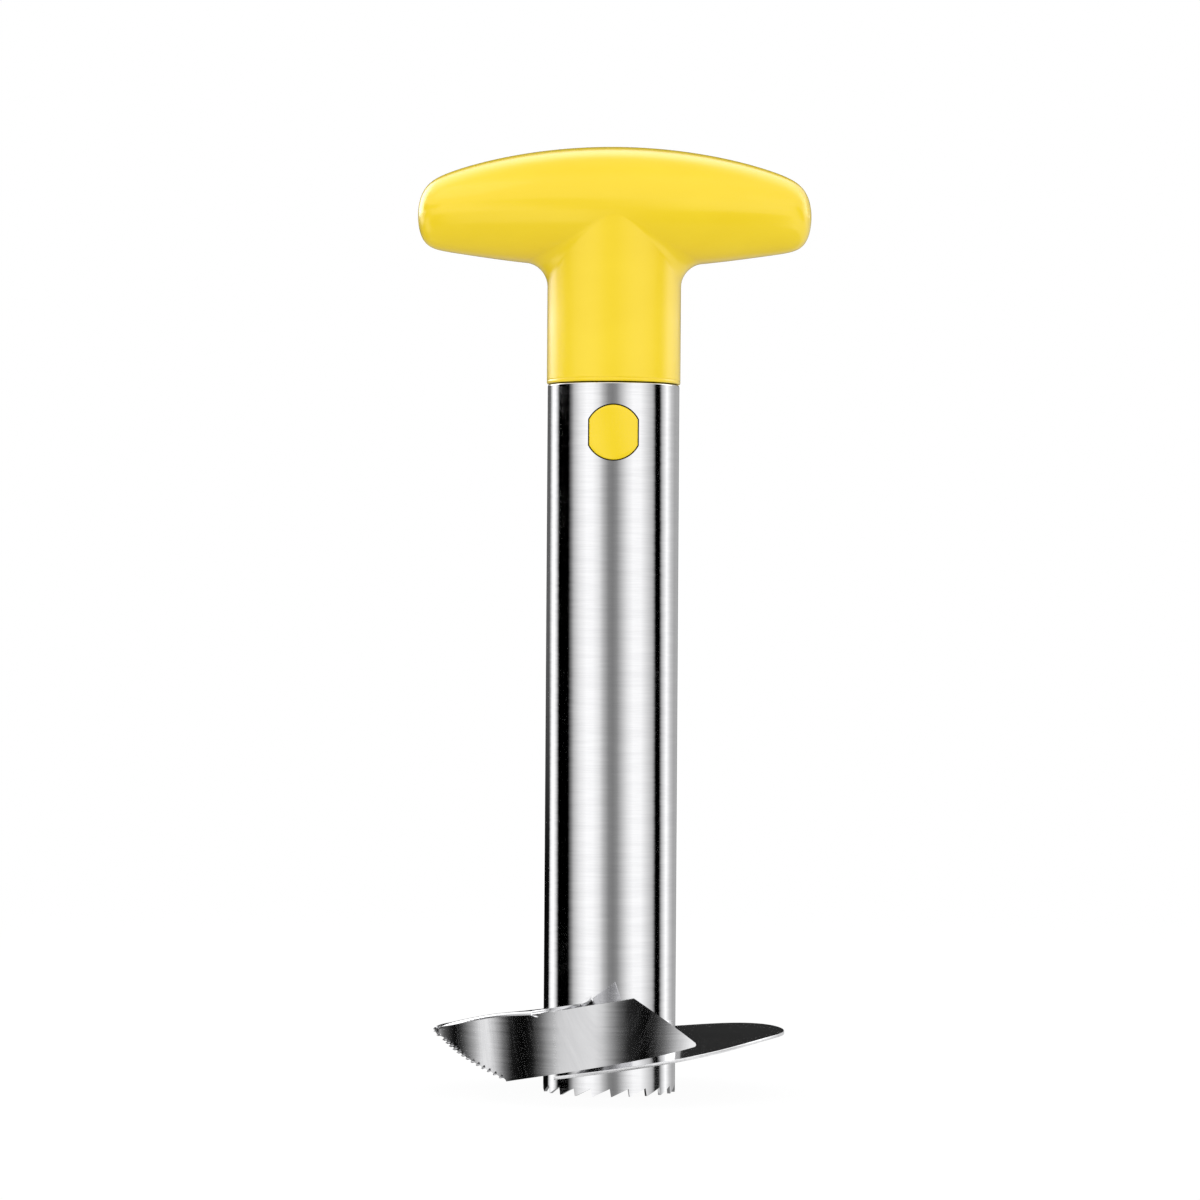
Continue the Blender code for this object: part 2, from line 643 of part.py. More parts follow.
def build_button(name, side, parts, cutters):
    """Latch button: a head that fills the tube's hole, a stop flange and a spring guide pin."""
    outline = double_d(BUTTON_RADIUS, BUTTON_HALF_WIDTH)
    face = TUBE_RADIUS + BUTTON_PROUD
    button = prism(name, outline, side * (face + OVERRUN), side * FLANGE_BACK, parts)
    crown = rod(name + "_crown", face, (0, 0, BUTTON_HEIGHT - TUBE_RADIUS),
                (0, 0, BUTTON_HEIGHT + TUBE_RADIUS), cutters, TUBE_SIDES)
    change(button, crown, 'INTERSECT')
    flange = rod(name + "_flange", FLANGE_RADIUS, (0, side * FLANGE_FRONT, BUTTON_HEIGHT),
                 (0, side * FLANGE_BACK, BUTTON_HEIGHT), cutters, 2 * SMALL_SIDES)
    change(button, flange, 'UNION')
    middle = (FLANGE_FRONT + FLANGE_BACK) / 2
    pin = rod(name + "_pin", BUTTON_PIN_RADIUS, (0, side * middle, BUTTON_HEIGHT),
              (0, side * BUTTON_PIN_END, BUTTON_HEIGHT), cutters)
    change(button, pin, 'UNION')
    finish_part(finished(button, name, parts), YELLOW, 0.35, 0.0)


def spring_points(side):
    """Centre line of a button spring, wound round the button's pin from flange to web."""
    outer = FLANGE_BACK - FIT_GAP - SPRING_WIRE_RADIUS
    inner = WEB_FACE + FIT_GAP + SPRING_WIRE_RADIUS
    count = round(SPRING_TURNS * SPRING_POINTS_PER_TURN)
    points = []
    for step in range(count + 1):
        turn = math.tau * step / SPRING_POINTS_PER_TURN
        points.append(Vector((SPRING_RADIUS * math.cos(turn), side * mix(outer, inner, step / count),
                              BUTTON_HEIGHT + SPRING_RADIUS * math.sin(turn))))
    return points


def least_self_gap(points):
    """Least free gap between turns, from points at least half a turn apart."""
    apart = SPRING_POINTS_PER_TURN // 2
    nearest = min((first - second).length for index, first in enumerate(points)
                  for second in points[index + apart:])
    return nearest - 2 * SPRING_WIRE_RADIUS


def build_spring(name, side, parts):
    """Button spring as one unbroken round wire."""
    points = spring_points(side)
    print(name, "least gap to itself, mm:", round(1000 * least_self_gap(points), 3))
    curve = bpy.data.curves.new(name, 'CURVE')
    curve.dimensions = '3D'
    curve.bevel_depth = SPRING_WIRE_RADIUS
    curve.bevel_resolution = 1
    curve.use_fill_caps = True
    spline = curve.splines.new('POLY')
    spline.points.add(len(points) - 1)
    for point, spot in zip(spline.points, points):
        point.co = (*spot, 1)
    spring = finished(place(name + "_wire", curve, parts), name, parts)
    finish_part(spring, SPRING_STEEL, 0.35, 1.0)


def build_slicer():
    clear_scene()
    parts = new_collection("pineapple_slicer")
    cutters = new_collection("cutters")
    build_tube(parts, cutters)
    build_blade(parts)
    build_shell("handle_front_shell", -1, True, parts, cutters)
    build_shell("handle_rear_shell", 1, False, parts, cutters)
    build_stem(parts, cutters)
    for name, side in (("front_button", -1), ("rear_button", 1)):
        build_button(name, side, parts, cutters)
        build_spring(name + "_spring", side, parts)


build_slicer()
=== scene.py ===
"""Pineapple slicer: a brushed corer tube, a spiral blade with a peel band, and a yellow T handle.

The tube stands on its tooth tips at Z = 0 with its axis on Z, and the handle's bar runs along X.
Angles round the tube are in degrees from the front (-Y), growing towards +X. Lengths are in metres.
"""
import math

import bmesh
import bpy
from mathutils import Matrix, Vector
from mathutils.bvhtree import BVHTree
from mathutils.interpolate import poly_3d_calc


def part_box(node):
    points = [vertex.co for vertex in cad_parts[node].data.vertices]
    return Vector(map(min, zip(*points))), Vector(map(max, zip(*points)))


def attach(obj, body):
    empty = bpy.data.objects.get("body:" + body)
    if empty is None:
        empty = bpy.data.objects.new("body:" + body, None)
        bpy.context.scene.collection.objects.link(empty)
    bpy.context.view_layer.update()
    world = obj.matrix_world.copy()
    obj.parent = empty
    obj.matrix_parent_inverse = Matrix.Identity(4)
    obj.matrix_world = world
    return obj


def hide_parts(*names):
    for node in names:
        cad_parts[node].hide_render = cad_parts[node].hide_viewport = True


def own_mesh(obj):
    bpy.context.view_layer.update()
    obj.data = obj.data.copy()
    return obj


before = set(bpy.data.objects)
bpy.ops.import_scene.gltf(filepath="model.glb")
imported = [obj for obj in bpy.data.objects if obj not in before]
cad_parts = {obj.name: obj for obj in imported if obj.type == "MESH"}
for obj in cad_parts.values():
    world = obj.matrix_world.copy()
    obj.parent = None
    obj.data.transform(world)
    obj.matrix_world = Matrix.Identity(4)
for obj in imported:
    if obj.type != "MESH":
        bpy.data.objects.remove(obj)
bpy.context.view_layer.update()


# Corer tube. Drawn stainless tube, brushed round its outside on a belt and left as drawn in its
# bore. Saw teeth are ground into the lower end, and the two latch holes near the top are punched.
TUBE_LENGTH = 0.1793
TUBE_RADIUS = 0.01675
TUBE_BORE = 0.01595
TUBE_EDGE = 0.0003
TOOTH_COUNT = 22
TOOTH_DEPTH = 0.0020
TOOTH_TIP_HALF_ANGLE = 0.35
TOOTH_STEEP_ANGLE = 1.5
TOOTH_SLOPE_STEPS = 11
FIRST_TOOTH_ANGLE = 2.0
TUBE_LEVELS = (0.0026, 0.006, 0.012, 0.02, 0.035, 0.05, 0.065, 0.08, 0.095, 0.11, 0.125, 0.14,
               0.152, 0.158, 0.175)
LATCH_HEIGHT = 0.1667
LATCH_RADIUS = 0.0069
LATCH_HALF_WIDTH = 0.0061
LATCH_CLEARANCE = 0.0003
LATCH_ARC_STEPS = 28
LATCH_FLAT_STEPS = 6
BORE_SLACK = 0.0002
STEEL_SHINE = (0.84, 0.84, 0.85, 1.0)
STEEL_SHADE = (0.775, 0.775, 0.787, 1.0)
BORE_SHINE = (0.62, 0.62, 0.63, 1.0)
BORE_SHADE = (0.40, 0.40, 0.41, 1.0)
STRAW_TINT = (0.66, 0.52, 0.33, 1.0)
STRAW_HEIGHT = 0.0150
TUBE_BREAK = 0.00007
TUBE_SWAY = 0.03
SCRATCH_DEPTH = 0.0000006
DIE_LINE_DEPTH = 0.000008
METAL = {"Metallic": 1.0}


def node(tree, kind, settings=None, inputs=None):
    """Add a shader node, with its settings, and its inputs as values or as sockets to link."""
    made = tree.nodes.new(kind)
    for name, value in (settings or {}).items():
        setattr(made, name, value)
    for name, value in (inputs or {}).items():
        if isinstance(value, bpy.types.NodeSocket):
            tree.links.new(value, made.inputs[name])
        else:
            made.inputs[name].default_value = value
    return made


def calculate(tree, operation, first, second=0.0, third=0.0):
    """The output of one Math node."""
    settings = {"operation": operation}
    return node(tree, "ShaderNodeMath", settings, {0: first, 1: second, 2: third}).outputs[0]


def times(tree, first, second):
    return calculate(tree, "MULTIPLY", first, second)


def weigh(tree, first, second, share):
    """That share of the first value, with the rest from the second."""
    return calculate(tree, "MULTIPLY_ADD", first, share, times(tree, second, 1 - share))


def vector_result(tree, operation, first, second=(0.0, 0.0, 0.0)):
    """The output of one Vector Math node."""
    settings = {"operation": operation}
    return node(tree, "ShaderNodeVectorMath", settings, {0: first, 1: second}).outputs[0]


def span(tree, value, start, end, low=0.0, high=1.0):
    """The value mapped smoothly from start..end to low..high, and held outside it."""
    settings = {"interpolation_type": "SMOOTHSTEP"}
    inputs = {"Value": value, "From Min": start, "From Max": end, "To Min": low, "To Max": high}
    return node(tree, "ShaderNodeMapRange", settings, inputs).outputs["Result"]


def blend_colours(tree, share, first, second):
    inputs = {0: share, 6: first, 7: second}
    return node(tree, "ShaderNodeMix", {"data_type": "RGBA"}, inputs).outputs[2]


def object_place(tree):
    """The point that is shaded, in metres from its object's origin."""
    return node(tree, "ShaderNodeTexCoord").outputs["Object"]


def noise(tree, place, scale, detail=2.0, roughness=0.5):
    """A noise of that many grains a metre, or of as many along X, Y and Z as a vector says."""
    grains = (scale,) * 3 if isinstance(scale, float) else scale
    inputs = {"Vector": vector_result(tree, "MULTIPLY", place, grains), "Scale": 1.0,
              "Detail": detail, "Roughness": roughness}
    return node(tree, "ShaderNodeTexNoise", None, inputs).outputs["Fac"]


def new_group(name, inputs, outputs):
    """A shader node group; gives its tree, the values it is given and the results to link."""
    tree = bpy.data.node_groups.new(name, "ShaderNodeTree")
    for direction, sockets in (("INPUT", inputs), ("OUTPUT", outputs)):
        for label, kind in sockets.items():
            tree.interface.new_socket(label, in_out=direction, socket_type="NodeSocket" + kind)
    return tree, tree.nodes.new("NodeGroupInput").outputs, tree.nodes.new("NodeGroupOutput").inputs


def use_group(tree, group, inputs):
    return node(tree, "ShaderNodeGroup", {"node_tree": group}, inputs).outputs


def new_finish(name, values):
    """A material with one Principled shader, whose uniform values are set on its own sockets."""
    material = bpy.data.materials.new(name)
    material.use_nodes = True
    shader = material.node_tree.nodes["Principled BSDF"]
    for label, value in values.items():
        shader.inputs[label].default_value = value
    return material, material.node_tree, shader


def lay_finish(tree, shader, colour, roughness, height, depth, normal=None):
    """Link the shader's colour, its roughness and a relief that is so many metres deep."""
    inputs = {"Height": height, "Distance": depth}
    if normal:
        inputs["Normal"] = normal
    relief = node(tree, "ShaderNodeBump", None, inputs).outputs["Normal"]
    for label, socket in (("Base Color", colour), ("Roughness", roughness), ("Normal", relief)):
        tree.links.new(socket, shader.inputs[label])


def brushed_grain_group():
    """Brush marks: fine scratches over broader streaks, with faint smudges from handling."""
    tree, given, result = new_group(
        "brushed_grain",
        {"Grain": "Vector", "Shine": "Color", "Shade": "Color", "Smooth": "Float",
         "Rough": "Float"},
        {"Colour": "Color", "Roughness": "Float", "Height": "Float"})
    place = object_place(tree)
    scratches = noise(tree, place, given["Grain"], 3.0, 0.65)
    broad_grain = vector_result(tree, "MULTIPLY", given["Grain"], (0.27, 0.27, 0.27))
    marks = weigh(tree, scratches, noise(tree, place, broad_grain), 0.55)
    smudge = span(tree, noise(tree, place, 55.0, 3.0, 0.6), 0.45, 0.75)
    contrast = span(tree, marks, 0.33, 0.67)
    colour = blend_colours(tree, contrast, given["Shade"], given["Shine"])
    spread = calculate(tree, "SUBTRACT", given["Rough"], given["Smooth"])
    rough = calculate(tree, "MULTIPLY_ADD", span(tree, marks, 0.62, 0.36), spread, given["Smooth"])
    smudged = calculate(tree, "MULTIPLY_ADD", smudge, 0.03, rough)
    tree.links.new(colour, result["Colour"])
    tree.links.new(smudged, result["Roughness"])
    tree.links.new(marks, result["Height"])
    return tree


BRUSHED_GRAIN = brushed_grain_group()


def swayed_normal_group():
    """The face's normal, turned a little left or right by each level brush line it crosses."""
    tree, given, result = new_group("swayed_normal", {"Sway": "Float"}, {"Normal": "Vector"})
    place = object_place(tree)
    fine = noise(tree, place, (70.0, 70.0, 2600.0), 1.0)
    broad = noise(tree, place, (34.0, 34.0, 1100.0), 2.0)
    off_line = calculate(tree, "SUBTRACT", weigh(tree, fine, broad, 0.55), 0.5)
    normal = node(tree, "ShaderNodeNewGeometry").outputs["Normal"]
    level = vector_result(tree, "CROSS_PRODUCT", (0.0, 0.0, 1.0), normal)
    push = vector_result(tree, "MULTIPLY", level, times(tree, off_line, given["Sway"]))
    swayed = vector_result(tree, "ADD", normal, push)
    tree.links.new(vector_result(tree, "NORMALIZE", swayed), result["Normal"])
    return tree


SWAYED_NORMAL = swayed_normal_group()


def round_axis(radius, angle, height):
    """A point on an upright cylinder round the tube's axis."""
    turn = math.radians(angle)
    return Vector((radius * math.sin(turn), -radius * math.cos(turn), height))


def mix(start, end, share):
    return start + (end - start) * share


def mesh_object(name, shape, closed=True):
    """A plain object from a bmesh, which is used up. A closed shape's faces turn outwards."""
    if closed:
        bmesh.ops.recalc_face_normals(shape, faces=shape.faces)
    mesh = bpy.data.meshes.new(name)
    shape.to_mesh(mesh)
    shape.free()
    made = bpy.data.objects.new(name, mesh)
    bpy.context.scene.collection.objects.link(made)
    return made


def apply_steps(thing):
    """Turn an object's modifiers into plain mesh."""
    bpy.context.view_layer.update()
    evaluated = thing.evaluated_get(bpy.context.evaluated_depsgraph_get())
    mesh = bpy.data.meshes.new_from_object(evaluated)
    thing.modifiers.clear()
    old = thing.data
    thing.data = mesh
    bpy.data.meshes.remove(old)
    mesh.name = thing.name
    return thing


def cut_or_join(thing, tool, operation):
    """Cut the tool's solid away from the thing, or join it on, and remove the tool."""
    step = thing.modifiers.new("Step", "BOOLEAN")
    step.operation = operation
    step.solver = "EXACT"
    step.object = tool
    apply_steps(thing)
    bpy.data.objects.remove(tool, do_unlink=True)


def soften_edges(thing, width, angle):
    """Break the edges that are sharper than the angle, as deburring and polishing do."""
    step = thing.modifiers.new("Deburr", "BEVEL")
    step.width = width
    step.segments = 2
    step.limit_method = "ANGLE"
    step.angle_limit = math.radians(angle)
    apply_steps(thing)


def dress(piece, body, materials, nodes=(), smooth_angle=35.0):
    """Give a piece its materials, its smooth shading, its body and the CAD nodes it stands for."""
    for material in materials:
        piece.data.materials.append(material)
    piece.data.shade_smooth()
    piece.data.set_sharp_from_angle(angle=math.radians(smooth_angle))
    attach(piece, body)
    if nodes:
        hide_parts(*nodes)


def extrude_outline(name, outline, front, back):
    """A closed solid from an outline of (x, z) points, between y = front and y = back."""
    shape = bmesh.new()
    face = shape.faces.new([shape.verts.new((x, front, z)) for x, z in outline])
    side = bmesh.ops.extrude_face_region(shape, geom=[face])
    moved = [item for item in side["geom"] if isinstance(item, bmesh.types.BMVert)]
    bmesh.ops.translate(shape, verts=moved, vec=(0, back - front, 0))
    return mesh_object(name, shape)


def latch_outline(inset):
    """Round with a flat on each side, drawn in by the inset, as (x, z) from the latch's centre."""
    radius = LATCH_RADIUS - inset
    half_width = LATCH_HALF_WIDTH - inset
    corner = math.acos(half_width / radius)
    outline = []
    for centre, side in ((0, -1), (math.pi, 1)):
        for step in range(LATCH_ARC_STEPS + 1):
            turn = centre + mix(corner, math.pi - corner, step / LATCH_ARC_STEPS)
            outline.append((radius * math.cos(turn), radius * math.sin(turn)))
        end = -side * radius * math.sin(corner)
        for step in range(1, LATCH_FLAT_STEPS):
            outline.append((side * half_width, mix(end, -end, step / LATCH_FLAT_STEPS)))
    return outline


def tooth_edge():
    """(angle, height) of each point of the ground lower edge, tooth by tooth."""
    pitch = 360 / TOOTH_COUNT
    start = TOOTH_TIP_HALF_ANGLE
    end = pitch - TOOTH_STEEP_ANGLE
    edge = []
    for tooth in range(TOOTH_COUNT):
        tip = FIRST_TOOTH_ANGLE + pitch * tooth
        edge.append((tip - TOOTH_TIP_HALF_ANGLE, 0.0))
        for step in range(TOOTH_SLOPE_STEPS + 1):
            share = step / TOOTH_SLOPE_STEPS
            edge.append((tip + mix(start, end, share), TOOTH_DEPTH * share))
    return edge


def quarter_round(radius, steps):
    """Points round an edge, from its side to its end, as (in from the side, short of the end)."""
    turns = [math.radians(90) * step / steps for step in range(steps + 1)]
    return [(radius * (1 - math.cos(turn)), radius * (1 - math.sin(turn))) for turn in turns]


def add_points(shape, points):
    return [shape.verts.new(point) for point in points]


def join_columns(shape, columns):
    """Quads between neighbouring columns of as many points each."""
    for left, right in zip(columns, columns[1:]):
        for row in range(len(left) - 1):
            shape.faces.new((left[row], left[row + 1], right[row + 1], right[row]))


def join_rings(shape, rings):
    """Quads between closed rings of as many points each."""
    join_columns(shape, [ring + ring[:1] for ring in rings])


def tube_wall(shape, edge, radius, inner):
    """One wall of the tube: its ground edge, its plain levels and its rounded top."""
    rings = [add_points(shape, [round_axis(radius, angle, height) for angle, height in edge])]
    levels = [(radius, height) for height in TUBE_LEVELS]
    for in_from_side, short in quarter_round(TUBE_EDGE, 3):
        levels.append((radius + (in_from_side if inner else -in_from_side), TUBE_LENGTH - short))
    for level_radius, height in levels:
        points = [round_axis(level_radius, angle, height) for angle, _ in edge]
        rings.append(add_points(shape, points))
    join_rings(shape, rings)
    return rings


def shade_as(mesh, true_normal):
    """Shade each corner by true_normal(face, corners, point), or as meshed where it gives None."""
    as_meshed = Vector((0, 0, 0))
    normals = [as_meshed] * len(mesh.loops)
    for face in mesh.polygons:
        corners = [mesh.vertices[index].co for index in face.vertices]
        for loop, point in zip(face.loop_indices, corners):
            normals[loop] = true_normal(face, corners, point) or as_meshed
    mesh.normals_split_custom_set(normals)


def tube_normal(face, corners, point, slack=0.00004):
    """The true cylinder's normal, on faces of the tube's outside."""
    on_wall = all(abs(corner.xy.length - TUBE_RADIUS) < slack for corner in corners)
    if not on_wall or abs(face.normal.z) >= 0.1:
        return None
    facing = 1 if face.normal.xy.dot(face.center.xy) > 0 else -1
    return Vector((point.x, point.y, 0)).normalized() * facing


def brushed_steel(name, grain, shine, shade, smooth, rough, depth, sway=0.0):
    """Steel with its marks running one way. A sway makes its mirror image waver line by line."""
    material, tree, shader = new_finish(name, METAL)
    marks = use_group(tree, BRUSHED_GRAIN, {"Grain": grain, "Shine": shine, "Shade": shade,
                                            "Smooth": smooth, "Rough": rough})
    normal = use_group(tree, SWAYED_NORMAL, {"Sway": sway})["Normal"] if sway else None
    lay_finish(tree, shader, marks["Colour"], marks["Roughness"], marks["Height"], depth, normal)
    return material


def tube_steel():
    """Belt-brushed stainless: long scratches round the tube, straw heat tint at the welds."""
    material = brushed_steel("tube_steel", (150.0, 150.0, 3000.0), STEEL_SHINE, STEEL_SHADE, 0.03,
                             0.06, SCRATCH_DEPTH, TUBE_SWAY)
    tree = material.node_tree
    base = tree.nodes["Principled BSDF"].inputs["Base Color"]
    place = object_place(tree)
    parts = node(tree, "ShaderNodeSeparateXYZ", None, {0: place}).outputs
    off_weld = calculate(tree, "ABSOLUTE", calculate(tree, "SUBTRACT", parts["Z"], STRAW_HEIGHT))
    at_back = span(tree, parts["Y"], -0.004, 0.006)
    tint = times(tree, span(tree, off_weld, 0.0024, 0.0006), at_back)
    patches = span(tree, noise(tree, place, 260.0), 0.35, 0.65)
    straw = times(tree, times(tree, tint, patches), 0.55)
    tree.links.new(blend_colours(tree, straw, base.links[0].from_socket, STRAW_TINT), base)
    return material


def bore_steel():
    """The bore as drawn: lengthwise die lines, duller than the outside."""
    return brushed_steel("bore_steel", (3000.0, 3000.0, 60.0), BORE_SHINE, BORE_SHADE, 0.30, 0.46,
                         DIE_LINE_DEPTH)


def build_tube():
    edge = tooth_edge()
    shape = bmesh.new()
    outside = tube_wall(shape, edge, TUBE_RADIUS, False)
    inside = tube_wall(shape, edge, TUBE_BORE, True)
    join_rings(shape, [inside[0], outside[0]])
    join_rings(shape, [outside[-1], inside[-1]])
    tube = mesh_object("brushed_corer_tube", shape)
    outline = [(x, z + LATCH_HEIGHT) for x, z in latch_outline(-LATCH_CLEARANCE)]
    reach = 2 * TUBE_RADIUS
    cut_or_join(tube, extrude_outline("latch_hole_punch", outline, -reach, reach), "DIFFERENCE")
    soften_edges(tube, TUBE_BREAK, 48.0)
    dress(tube, "slicer", [tube_steel(), bore_steel()], ["corer_tube"], 30.0)
    for face in tube.data.polygons:
        inwards = face.normal.xy.dot(face.center.xy) < 0
        if inwards and face.center.xy.length < TUBE_BORE + BORE_SLACK:
            face.material_index = 1
    shade_as(tube.data, tube_normal)


build_tube()


# Spiral blade. One stainless blank, stamped, bent into a split ring that climbs one turn, and
# folded down at its raised end into the peel band. Lips and rim are ground bright; it is tack
# welded to the tube from below, at the back.
BLADE_RADIUS = 0.0444
BLADE_THICKNESS = 0.0008
BLADE_HEIGHT = 0.0158
RING_INNER_RADIUS = 0.01705
LOWER_LIP_HEIGHT = 0.0074
LOWER_LIP_ANGLE = -18.0
LOWER_RAMP_ANGLE = 58.5
UPPER_LIP_HEIGHT = 0.0232
UPPER_LIP_ANGLE = -26.0
UPPER_EASE = 0.00065
UPPER_EASE_ANGLE = -36.8
UPPER_RAMP_ANGLE = -85.8
RAMP_BLEND = 0.0015
EASE_BLEND = 0.0006
BACK_DIP = 0.0035
BAND_STEP = 0.0009
BAND_CLIMB = 9.8
BAND_HEIGHT = 0.0155
BAND_LEAD_TOP_ANGLE = -80.5
BAND_LEAD_LOW_ANGLE = -36.3
BAND_TAIL_TOP_ANGLE = 7.6
BAND_TAIL_LOW_ANGLE = 31.2
BAND_LEAN = 5.0
BAND_CORNER_RADIUS = 0.0008
FOLD_RADIUS = 0.0010
FOLD_STEPS = 10
NOSE_ANGLE = 3.5
NOSE_SHARE = 0.115
NOSE_END_SHARE = 0.15
LEAD_SHARE = 0.14
SERRATION_COUNT = 16
SERRATION_DEPTH = 0.0005
SERRATION_STEPS = 8
RELIEF_RADIUS = 0.0006
RELIEF_STEPS = 12
RIM_GRIND = 0.0002
RING_STEPS_ACROSS = 5
LOWER_SLOPE = (BLADE_HEIGHT - LOWER_LIP_HEIGHT) / (LOWER_RAMP_ANGLE - LOWER_LIP_ANGLE)
EASE_HEIGHT = UPPER_LIP_HEIGHT - UPPER_EASE
UPPER_SLOPE = (EASE_HEIGHT - BLADE_HEIGHT) / (UPPER_EASE_ANGLE - UPPER_RAMP_ANGLE)
EASE_SLOPE = UPPER_EASE / (UPPER_LIP_ANGLE - UPPER_EASE_ANGLE)
FOLD_START_ANGLE = BAND_LEAD_TOP_ANGLE + 360
FOLD_END_ANGLE = UPPER_LIP_ANGLE + 360
RING_STEP_ANGLE = 1.0
BAND_STEP_ANGLE = 0.8
BAND_TOP_HEIGHT = UPPER_LIP_HEIGHT - BAND_STEP
BAND_SLOPE = math.tan(math.radians(BAND_CLIMB)) * math.radians(1) * BLADE_RADIUS
WELD_ANGLES = (75.0, 120.0, 165.0, 210.0, 255.0)
WELD_HALF_SPAN = 9.0
WELD_RADIUS = 0.0009
WELD_STANDOFF = 0.0001
WELD_STEPS = 28
WELD_SIDES = 12
WELD_RIPPLES = 9
WELD_RIPPLE_SHARE = 0.05
WELD_PIT_DEPTH = 0.00002
SHEET_BREAK = 0.00009
SHEET_SWAY = 0.045
EDGE_SHINE = (0.93, 0.93, 0.94, 1.0)
EDGE_SHADE = (0.84, 0.84, 0.85, 1.0)
LINISH_DEPTH = 0.000004
# How near a point must be to count as on the top face, the cut rim or the band's outer face.
TOP_SLACK = 0.00015
RIM_SLACK = 0.00005
RIM_FACE_SLACK = 0.00012
BAND_SLACK = 0.00009
SHEET_MATCH = 0.975


def soft_min(first, second, blend):
    """The lower of two values, with the corner between them rounded off."""
    near = max(blend - abs(first - second), 0) / blend
    return min(first, second) - near * near * blend / 4


def upper_climb(angle):
    """The climb of the ring's raised end, which eases off before the upper lip."""
    past = angle - UPPER_EASE_ANGLE
    return EASE_HEIGHT + soft_min(UPPER_SLOPE * past, EASE_SLOPE * past, EASE_BLEND)


def ring_height(angle):
    """Height of the ring's top face, from the lower lip round to the upper lip."""
    lower = LOWER_LIP_HEIGHT + LOWER_SLOPE * (angle - LOWER_LIP_ANGLE)
    flat_or_lower = soft_min(BLADE_HEIGHT, lower, RAMP_BLEND)
    dip = BACK_DIP * max(0.0, -math.cos(math.radians(angle))) ** 4
    return -soft_min(-flat_or_lower, -upper_climb(angle - 360), RAMP_BLEND) - dip


def band_line(angle):
    """The slant of the band's free top edge, which its low edge follows."""
    return BAND_TOP_HEIGHT + BAND_SLOPE * (angle - UPPER_LIP_ANGLE)


def corner_pull(inside):
    """How far the tail's round lower corner stops short of its point, that far above the edge."""
    run = math.radians(BAND_TAIL_LOW_ANGLE - BAND_TAIL_TOP_ANGLE) * BLADE_RADIUS
    climb = band_line(BAND_TAIL_LOW_ANGLE) - band_line(BAND_TAIL_TOP_ANGLE)
    corner = math.atan2(BAND_HEIGHT - climb, run) + math.atan2(climb, run)
    if inside >= BAND_CORNER_RADIUS * (1 + math.cos(corner)):
        return 0
    chord = math.sqrt(BAND_CORNER_RADIUS ** 2 - (BAND_CORNER_RADIUS - inside) ** 2)
    return BAND_CORNER_RADIUS / math.tan(corner / 2) - chord - inside / math.tan(corner)


def scallop(share):
    """Depth of the serrated leading edge: hollows between fine points."""
    within = share * SERRATION_COUNT % 1
    return SERRATION_DEPTH * math.sqrt(max(0, 1 - (2 * within - 1) ** 2))


def lead_shift(share):
    """Degrees by which the leading edge leaves its straight line, back for the nose, then on."""
    nose = min(1, max(0, (NOSE_END_SHARE - share) / (NOSE_END_SHARE - NOSE_SHARE)))
    back = (BAND_LEAD_TOP_ANGLE - BAND_LEAD_LOW_ANGLE) * share
    return mix(NOSE_ANGLE * (1 - share), back, nose)


def relief_cut(top_angle):
    """Depth of the small round relief punched beside the fold, so that the bend didn't tear."""
    past = math.radians(top_angle - UPPER_LIP_ANGLE) * BLADE_RADIUS / RELIEF_RADIUS
    return RELIEF_RADIUS * math.sqrt(max(0, 1 - (past - 1) ** 2))


def band_column(top_angle, folded):
    """Points down the peel band along one slanted line, from its top edge to its low edge."""
    along = (top_angle - BAND_LEAD_TOP_ANGLE) / (BAND_TAIL_TOP_ANGLE - BAND_LEAD_TOP_ANGLE)
    low_angle = mix(BAND_LEAD_LOW_ANGLE, BAND_TAIL_LOW_ANGLE, along)
    top = ring_height(top_angle + 360) - FOLD_RADIUS if folded else band_line(top_angle)
    low = band_line(low_angle) - BAND_HEIGHT
    leading = max(0.0, 1 - along / LEAD_SHARE)
    draw_in = BAND_HEIGHT * math.tan(math.radians(BAND_LEAN))
    edge_run = math.radians(BAND_LEAD_LOW_ANGLE - BAND_LEAD_TOP_ANGLE) * BLADE_RADIUS
    edge_slope = math.atan2(top - low, edge_run)
    rows = SERRATION_STEPS * SERRATION_COUNT
    relief = 0 if folded else relief_cut(top_angle) / (top - low)
    points = []
    for row in range(rows + 1):
        share = mix(relief, 1, row / rows)
        hollow = scallop(share) * leading
        angle = mix(top_angle, low_angle, share) + lead_shift(share) * leading
        angle += math.degrees(hollow * math.sin(edge_slope) / BLADE_RADIUS)
        if not folded:
            pull = corner_pull(BAND_HEIGHT * (1 - share)) / BLADE_RADIUS
            past_fold = (top_angle - UPPER_LIP_ANGLE) / (BAND_TAIL_TOP_ANGLE - UPPER_LIP_ANGLE)
            angle -= math.degrees(pull) * past_fold ** 2
        height = mix(top, low, share) + hollow * math.cos(edge_slope)
        points.append(round_axis(BLADE_RADIUS - draw_in * share, angle, height))
    return points


def ring_column(angle):
    """Points across the ring at one angle, from the tube out to the fold's start."""
    radii = [mix(RING_INNER_RADIUS, BLADE_RADIUS - FOLD_RADIUS, step / RING_STEPS_ACROSS)
             for step in range(RING_STEPS_ACROSS + 1)]
    return [round_axis(radius, angle, ring_height(angle)) for radius in radii]


def fold_column(angle):
    """Points across the ring, round the fold and down the band."""
    points = ring_column(angle)
    for step in range(1, FOLD_STEPS):
        turn = math.radians(90) * step / FOLD_STEPS
        radius = BLADE_RADIUS - FOLD_RADIUS * (1 - math.sin(turn))
        height = ring_height(angle) - FOLD_RADIUS * (1 - math.cos(turn))
        points.append(round_axis(radius, angle, height))
    return points + band_column(angle - 360, True)


def even_steps(start, end, step_angle):
    """Angles from start to end, about one step apart."""
    count = round((end - start) / step_angle)
    return [mix(start, end, step / count) for step in range(count + 1)]


